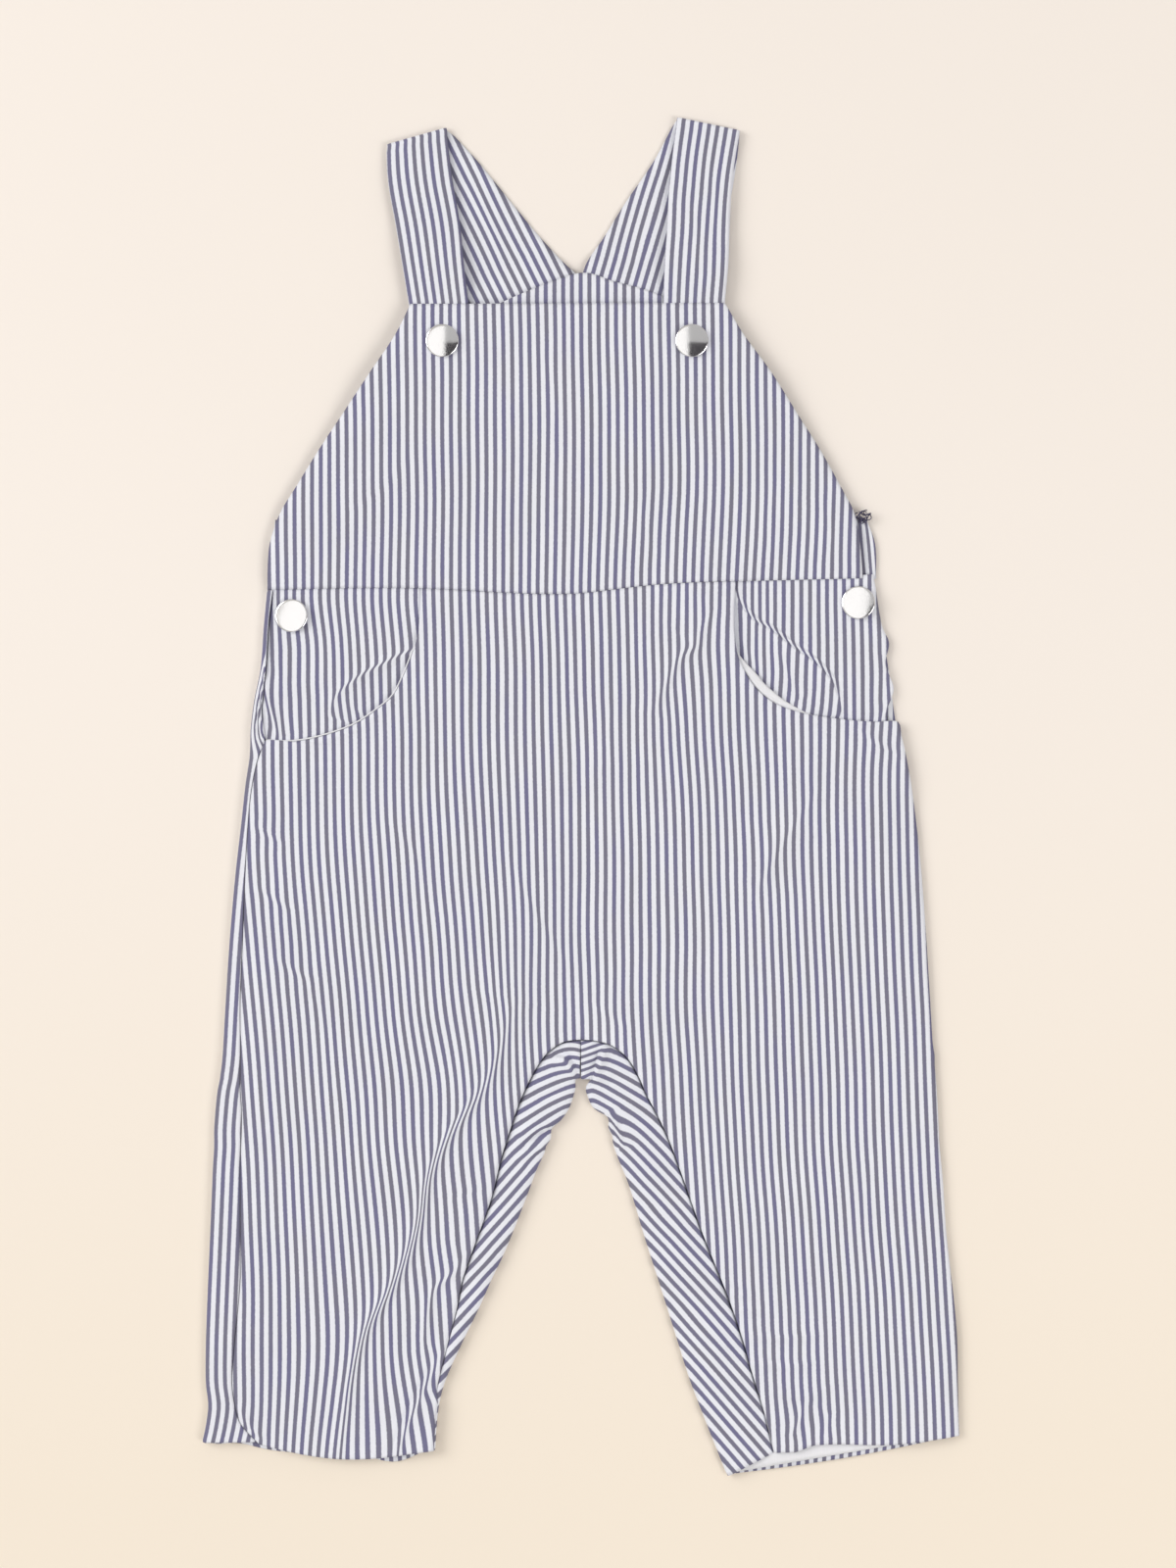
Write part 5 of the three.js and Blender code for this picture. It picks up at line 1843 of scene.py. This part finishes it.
@dataclass
class Casing:
    """Elastic casing across the back waist, gathered."""

    gathers: int = 26
    rise: float = 0.55
    columns: int = 364
    rows: int = 14

    def build(self, wardrobe: Wardrobe) -> bpy.types.Object:
        """Grid whose height is a row of uneven raised cosines, each a gather, that fan and
        fade towards the lower seam.

        Args:
            wardrobe: The finishes.

        Returns:
            The piece.
        """
        down = np.linspace(0, 1, self.rows + 1)
        flat, share = ruled(CASING_ROWS.curve("left"), CASING_ROWS.curve("right"), down, self.columns)
        x, y, down = flat[..., 0], flat[..., 1], down[:, None]
        turns = 2 * np.pi * share * self.gathers
        sway = 0.5 * np.sin(x / 17.0) + 0.35 * np.sin(x / 7.3 + y / 9.0)
        rise = FIRST + self.rise * (1 + np.cos(turns + sway)) / 2 * (1 - 0.35 * down)
        u = x * 1.35 + 0.5 * np.sin(turns) * (1 - 0.5 * down) - 3.4 * down * smoothstep(x, 112, 119)
        patch = Patch(lifted(flat, rise), np.stack([u, y], axis=-1))
        return wardrobe.cut("back_casing", [patch], "back_waist_casing", THIN_WALL)


@dataclass
class Pocket:
    """Side piece of a pocket and the sliver of lining that shows beside the mouth."""

    side: Side
    step: float = 0.8
    columns: int = 90
    lining_columns: int = 4
    widest: float = 0.6
    tucked: float = 0.9
    opening: tuple = (0.2, 0.26, 0.97, 1.05)
    wave_share: tuple = (0.82, 1.0)
    wave_ends: tuple = (22.0, 34.0, 62.0, 76.0)
    wave_rise: float = 1.5

    def build_side(self, wardrobe: Wardrobe) -> bpy.types.Object:
        """Grid on the second layer between the pocket's edges, with its creases. The right
        one's outer edge waves.

        Args:
            wardrobe: The finishes.

        Returns:
            The piece.
        """
        table, creases, grain = POCKETS[self.side]
        flat, share = table.grid(self.step, self.columns, creases.focus)
        x, y = flat[..., 0], flat[..., 1]
        if self.side is Side.RIGHT:
            near = smoothstep(share, *self.wave_share) * smoothstep(y, *self.wave_ends[:2])
            near *= 1 - smoothstep(y, *self.wave_ends[2:])
            x = x + self.wave_rise * np.sin(y / 3.4 + 0.8) * near
        y = y + 2.0 * smoothstep(y, 78, 87)
        seam = pucker(x, WAIST_Y - y, 0.12, 5.0)
        rise = SECOND + creases.height(x, y) * (1 - smoothstep(y, 82, 88)) + seam + 0.5 * drape(x, y)
        cloth = np.stack([grain.across(x, y) + creases.pull(x, y), y], axis=-1)
        patch = Patch(np.stack([x, y - waist_dip(x, y), rise], axis=-1), cloth)
        node = "pocket_side_" + self.side.word
        return wardrobe.cut(node + "_cloth", [patch], node, THIN_WALL)

    def build_lining(self, wardrobe: Wardrobe) -> bpy.types.Object:
        """Crescent along the mouth: tucked under the front's edge but for its opening, where it
        widens and narrows smoothly.

        Args:
            wardrobe: The finishes.

        Returns:
            The piece.
        """
        mouth = Curve(BODY_ROWS.pair(self.side.word)[:MOUTH_ROWS])
        places = stations([mouth], self.step)
        spots = mouth.at(places)
        spots[:, 1] -= waist_dip(spots[:, 0], spots[:, 1])
        outward = self.side.across(mouth.tangents(places))
        starts, full, narrows, ends = self.opening
        wide = (smoothstep(places, starts, full) * (1 - smoothstep(places, narrows, ends)))[:, None]
        share = np.linspace(0, 1, self.lining_columns + 1)[None]
        reach = -1.4 + 1.55 * wide + share * (self.tucked + wide * (self.widest - self.tucked))
        flat = spots[:, None] + outward[:, None] * reach[..., None]
        lift = 0.6 * FRONT_CREASES.height(spots[:, 0], spots[:, 1])[:, None]
        rise = THIRD - 0.72 + 0.6 * wide + lift * wide - 0.25 * share
        node = "pocket_lining_" + self.side.word
        return wardrobe.cut(node + "_cloth", [Patch(lifted(flat, rise), flat)], node, THIN_WALL, True)


@dataclass
class Button:
    """Domed metal button with a rolled rim, set a little above the layer under it."""

    name: str
    x: float
    y: float
    under: float
    tilt: tuple = (0.0, 0.0)
    dome: float = 0.5
    around: int = 96
    foot: float = 0.8
    face_height: float = 1.54
    face_radius: float = 6.6
    face: tuple = (6.4, 5.8, 5.0, 4.0, 3.0, 1.8, 0.8)
    rim: tuple = ((4.6, 0.0), (5.6, 0.12), (6.5, 0.35), (6.88, 0.62), (7.0, 0.9), (6.98, 1.18),
                  (6.9, 1.37), (6.78, 1.47), (6.62, 1.52))

    def build(self, wardrobe: Wardrobe) -> bpy.types.Object:
        """Profile turned about the button's axis: x and y are its radius times the cosine and
        sine of the angle, and the tilt adds a share of them to the height.

        Args:
            wardrobe: The finishes.

        Returns:
            The piece.
        """
        face = np.array(self.face)
        dome = self.face_height + self.dome * (1 - (face / self.face_radius) ** 2)
        profile = np.vstack([self.rim, np.column_stack([face, dome])])
        angle = 2 * np.pi * np.arange(self.around) / self.around
        x, y = (profile[:, :1] * turn(angle)[None] for turn in (np.cos, np.sin))
        z = profile[:, 1:] + self.tilt[0] * x + self.tilt[1] * y
        centre = np.array([self.x, self.y, self.under + self.foot])
        points = np.stack([x, y, z], axis=-1).reshape(-1, 3) + centre
        ends = centre + np.array([[0, 0, 0], [0, 0, self.face_height + self.dome]])
        low, high = len(points), len(points) + 1
        last = (len(profile) - 1) * self.around
        after = [(k + 1) % self.around for k in range(self.around)]
        faces = tube_faces(len(profile), self.around)
        faces += [[low, after[k], k] for k in range(self.around)]
        faces += [[high, last + k, last + after[k]] for k in range(self.around)]
        piece = solid(self.name + "_metal", np.vstack([points, ends]), faces)
        return wardrobe.dress(piece, wardrobe.metal, Slot.METAL, self.name)


@dataclass
class ThreadKnot:
    """Small dark tangle of thread ends where the bib's edge meets the casing at the right."""

    x: float = 119.6
    y: float = 118.6
    z: float = 2.6
    radius: float = 0.21
    steps: int = 40
    sides: int = 6
    loops: tuple = ((2.4, 1.3, 0.0, 3.0, 1.0), (1.6, 2.3, 0.9, 4.0, 2.1), (3.6, 1.0, 2.0, 3.0, 4.0),
                    (1.2, 2.4, 3.1, 5.0, 5.2), (2.8, 1.7, 4.4, 3.0, 0.4))

    def build(self, wardrobe: Wardrobe) -> bpy.types.Object:
        """Thin tubes along bent ovals: x and y are a cosine and a sine with a faster wobble, z
        is another sine, and each tube's ring turns round its path.

        Args:
            wardrobe: The finishes.

        Returns:
            The piece.
        """
        ring = list(range(self.sides))
        tube = tube_faces(self.steps, self.sides)
        tube += [ring[::-1], [(self.steps - 1) * self.sides + corner for corner in ring]]
        points, faces = [], []
        for number, (wide, tall, phase, turns, lift) in enumerate(self.loops):
            t = np.linspace(0, 1.35 * np.pi, self.steps)
            path = np.column_stack([
                self.x + wide * np.cos(t + phase) + 0.8 * np.sin(turns * t + lift),
                self.y + tall * np.sin(t + phase) + 0.7 * np.cos(turns * t),
                self.z + 0.8 * np.sin(turns * t + lift),
            ])
            points.append(tube_points(path, self.radius, self.sides))
            passed = number * self.steps * self.sides
            faces += [[corner + passed for corner in face] for face in tube]
        piece = solid("armhole_thread_knot", np.vstack(points), faces)
        return wardrobe.dress(piece, wardrobe.thread, Slot.STRIPED)


def tube_points(path: Array, radius: float, sides: int) -> Array:
    """Rings round a path: each ring is the radius times the cosine and sine of the angle along
    two directions at right angles to the path.

    Args:
        path: Points, n by 3.
        radius: Radius of every ring.
        sides: Points on each ring.

    Returns:
        Ring points one after the other.
    """
    along = unit(np.gradient(path, axis=0), 1e-9)
    flat = unit(np.cross(along, [0.0, 0.0, 1.0]), 1e-9)
    up = np.cross(flat, along)
    angle = 2 * np.pi * np.arange(sides)[None, :, None] / sides
    ring = np.cos(angle) * flat[:, None] + np.sin(angle) * up[:, None]
    return (path[:, None] - radius * ring).reshape(-1, 3)


@dataclass
class Studio:
    """Pale table, soft overhead light and the camera straight above."""

    camera_height: float = 1.7
    frame_height: float = 0.664
    centre: tuple = (0.0031, 0.0052)
    cloth_level: float = 0.003
    sensor: float = 36.0
    softboxes: tuple = (
        ("softbox_left", (-2.1, 0.7, 1.7), 1.7, 42.0, (1.0, 0.985, 0.97)),
        ("softbox_right", (1.6, -0.8, 2.0), 1.4, 27.5, (1.0, 0.98, 0.96)),
    )
    surround: float = 0.548
    sky: tuple = (1.0, 0.95, 0.89, 1)
    cap: tuple = (2.1, 2.05, 2.0, 1)
    right: tuple = (0.95, 0.93, 0.92, 1)
    corner: tuple = (0.13, 0.12, 0.13, 1)

    def table(self, wardrobe: Wardrobe) -> None:
        """A level sheet of 3 m, just under the cloth.

        Args:
            wardrobe: The finishes.
        """
        half, level = 1500.0, -0.4
        corners = [[x, y, level] for x, y in ((-half, -half), (half, -half), (half, half), (-half, half))]
        floor = solid("table_top", np.array(corners), [[0, 1, 2, 3]])
        floor.data.materials.append(wardrobe.table)

    def lights(self) -> None:
        """A broad softbox up to the left and a weaker one to the right, both turned to the
        cloth, in a warm surround. The buttons mirror its bright cap straight above, its paler
        right half and the dark corner of that half."""
        for name, place, size, energy, colour in self.softboxes:
            light = bpy.data.lights.new(name, "AREA")
            light.shape = "SQUARE"
            light.size = size
            light.energy = energy
            light.color = colour
            lamp = placed(name, light)
            lamp.location = place
            tilt = math.atan2(math.hypot(place[0], place[1]), place[2])
            lamp.rotation_euler = (0.0, tilt, math.atan2(place[1], place[0]))
        world = bpy.data.worlds.new("soft surround")
        world.use_nodes = True
        nodes = Nodes(world.node_tree)
        x, y, z = nodes.split(nodes.add("ShaderNodeTexCoord", {})["Generated"])
        right = nodes.math("MULTIPLY", nodes.ramp(x, -0.03, -0.01), nodes.ramp(z, 0.6, 0.8))
        corner = nodes.math("MULTIPLY", right, nodes.ramp(y, 0.085, 0.06))
        colour = nodes.mix(nodes.ramp(z, 0.90, 0.92), self.sky, self.cap)
        colour = nodes.mix(corner, nodes.mix(right, colour, self.right), self.corner)
        back = nodes.find("BACKGROUND")
        nodes.feed(back.inputs["Color"], colour)
        nodes.feed(back.inputs["Strength"], self.surround)
        bpy.context.scene.world = world

    def camera(self) -> None:
        """Straight down on the frame's centre, with the lens that spans the frame's height."""
        lens = bpy.data.cameras.new("overhead")
        lens.sensor_width = self.sensor
        lens.lens = self.sensor * (self.camera_height - self.cloth_level) / self.frame_height
        lens.clip_end = 20.0
        camera = placed("overhead", lens)
        camera.location = (*self.centre, self.camera_height)
        bpy.context.scene.camera = camera
        bpy.context.scene.view_settings.view_transform = "Standard"


BUTTONS = (
    Button("button_bib_left", -58.5, 192.5, FIFTH, tilt=(0.018, 0.0)),
    Button("button_bib_right", 47.0, 192.5, FIFTH, tilt=(-0.014, 0.0)),
    Button("button_side_left", -122.5, 76.5, SECOND, tilt=(0.1, -0.03), dome=0.28),
    Button("button_side_right", 117.5, 82.0, SECOND, tilt=(0.1, -0.03), dome=0.28),
)


def main() -> None:
    """Builds the garment from the table up and sets the stage."""
    logging.basicConfig(level=logging.INFO, format="%(name)s %(message)s")
    wardrobe = Wardrobe()
    studio = Studio()
    studio.camera()
    back_left = TrousersBack(Side.LEFT).build(wardrobe)
    back_right = TrousersBack(
        Side.RIGHT, notch=-137.0, roundness=1.6, turn=((-121.0, 4.8), (-114.0, 8.5), (-104.0, 13.0)),
        lean=((-104, 0.44), (-119, 0.48), (-130, 0.53), (-144, 0.68), (-156, 0.74), (-195, 0.74),
              (-250, 0.757), (-290, 0.757))).build(wardrobe)
    back_bib = LevelPiece("bib_back", "back_bib", BACK_BIB_ROWS, FIRST).build(wardrobe)
    casing = Casing().build(wardrobe)
    strap_left = Strap(Side.LEFT).build(wardrobe)
    strap_right = Strap(Side.RIGHT, first_stripe=3.0, back_angle=74.0, back_phase=63.5).build(wardrobe)
    facing = LevelPiece("facing_back", "back_facing", FACING_STATIONS, THIRD, ("top", "low"),
                        columns=16).build(wardrobe)
    pockets = (Pocket(Side.LEFT), Pocket(Side.RIGHT, widest=3.8, opening=(0.2, 0.42, 0.5, 0.73)))
    side_left, side_right = (pocket.build_side(wardrobe) for pocket in pockets)
    leg_lining = LevelPiece("leg_lining", "leg_lining_right", LEG_LINING_ROWS, SECOND,
                            wall=THIN_WALL, lining=True).build(wardrobe)
    front = TrousersFront().build(wardrobe)
    mouth_left, mouth_right = (pocket.build_lining(wardrobe) for pocket in pockets)
    bib = Bib().build(wardrobe)
    for button in BUTTONS:
        button.build(wardrobe)
    ThreadKnot().build(wardrobe)

    studio.table(wardrobe)
    studio.lights()


if __name__ == "__main__":
    main()
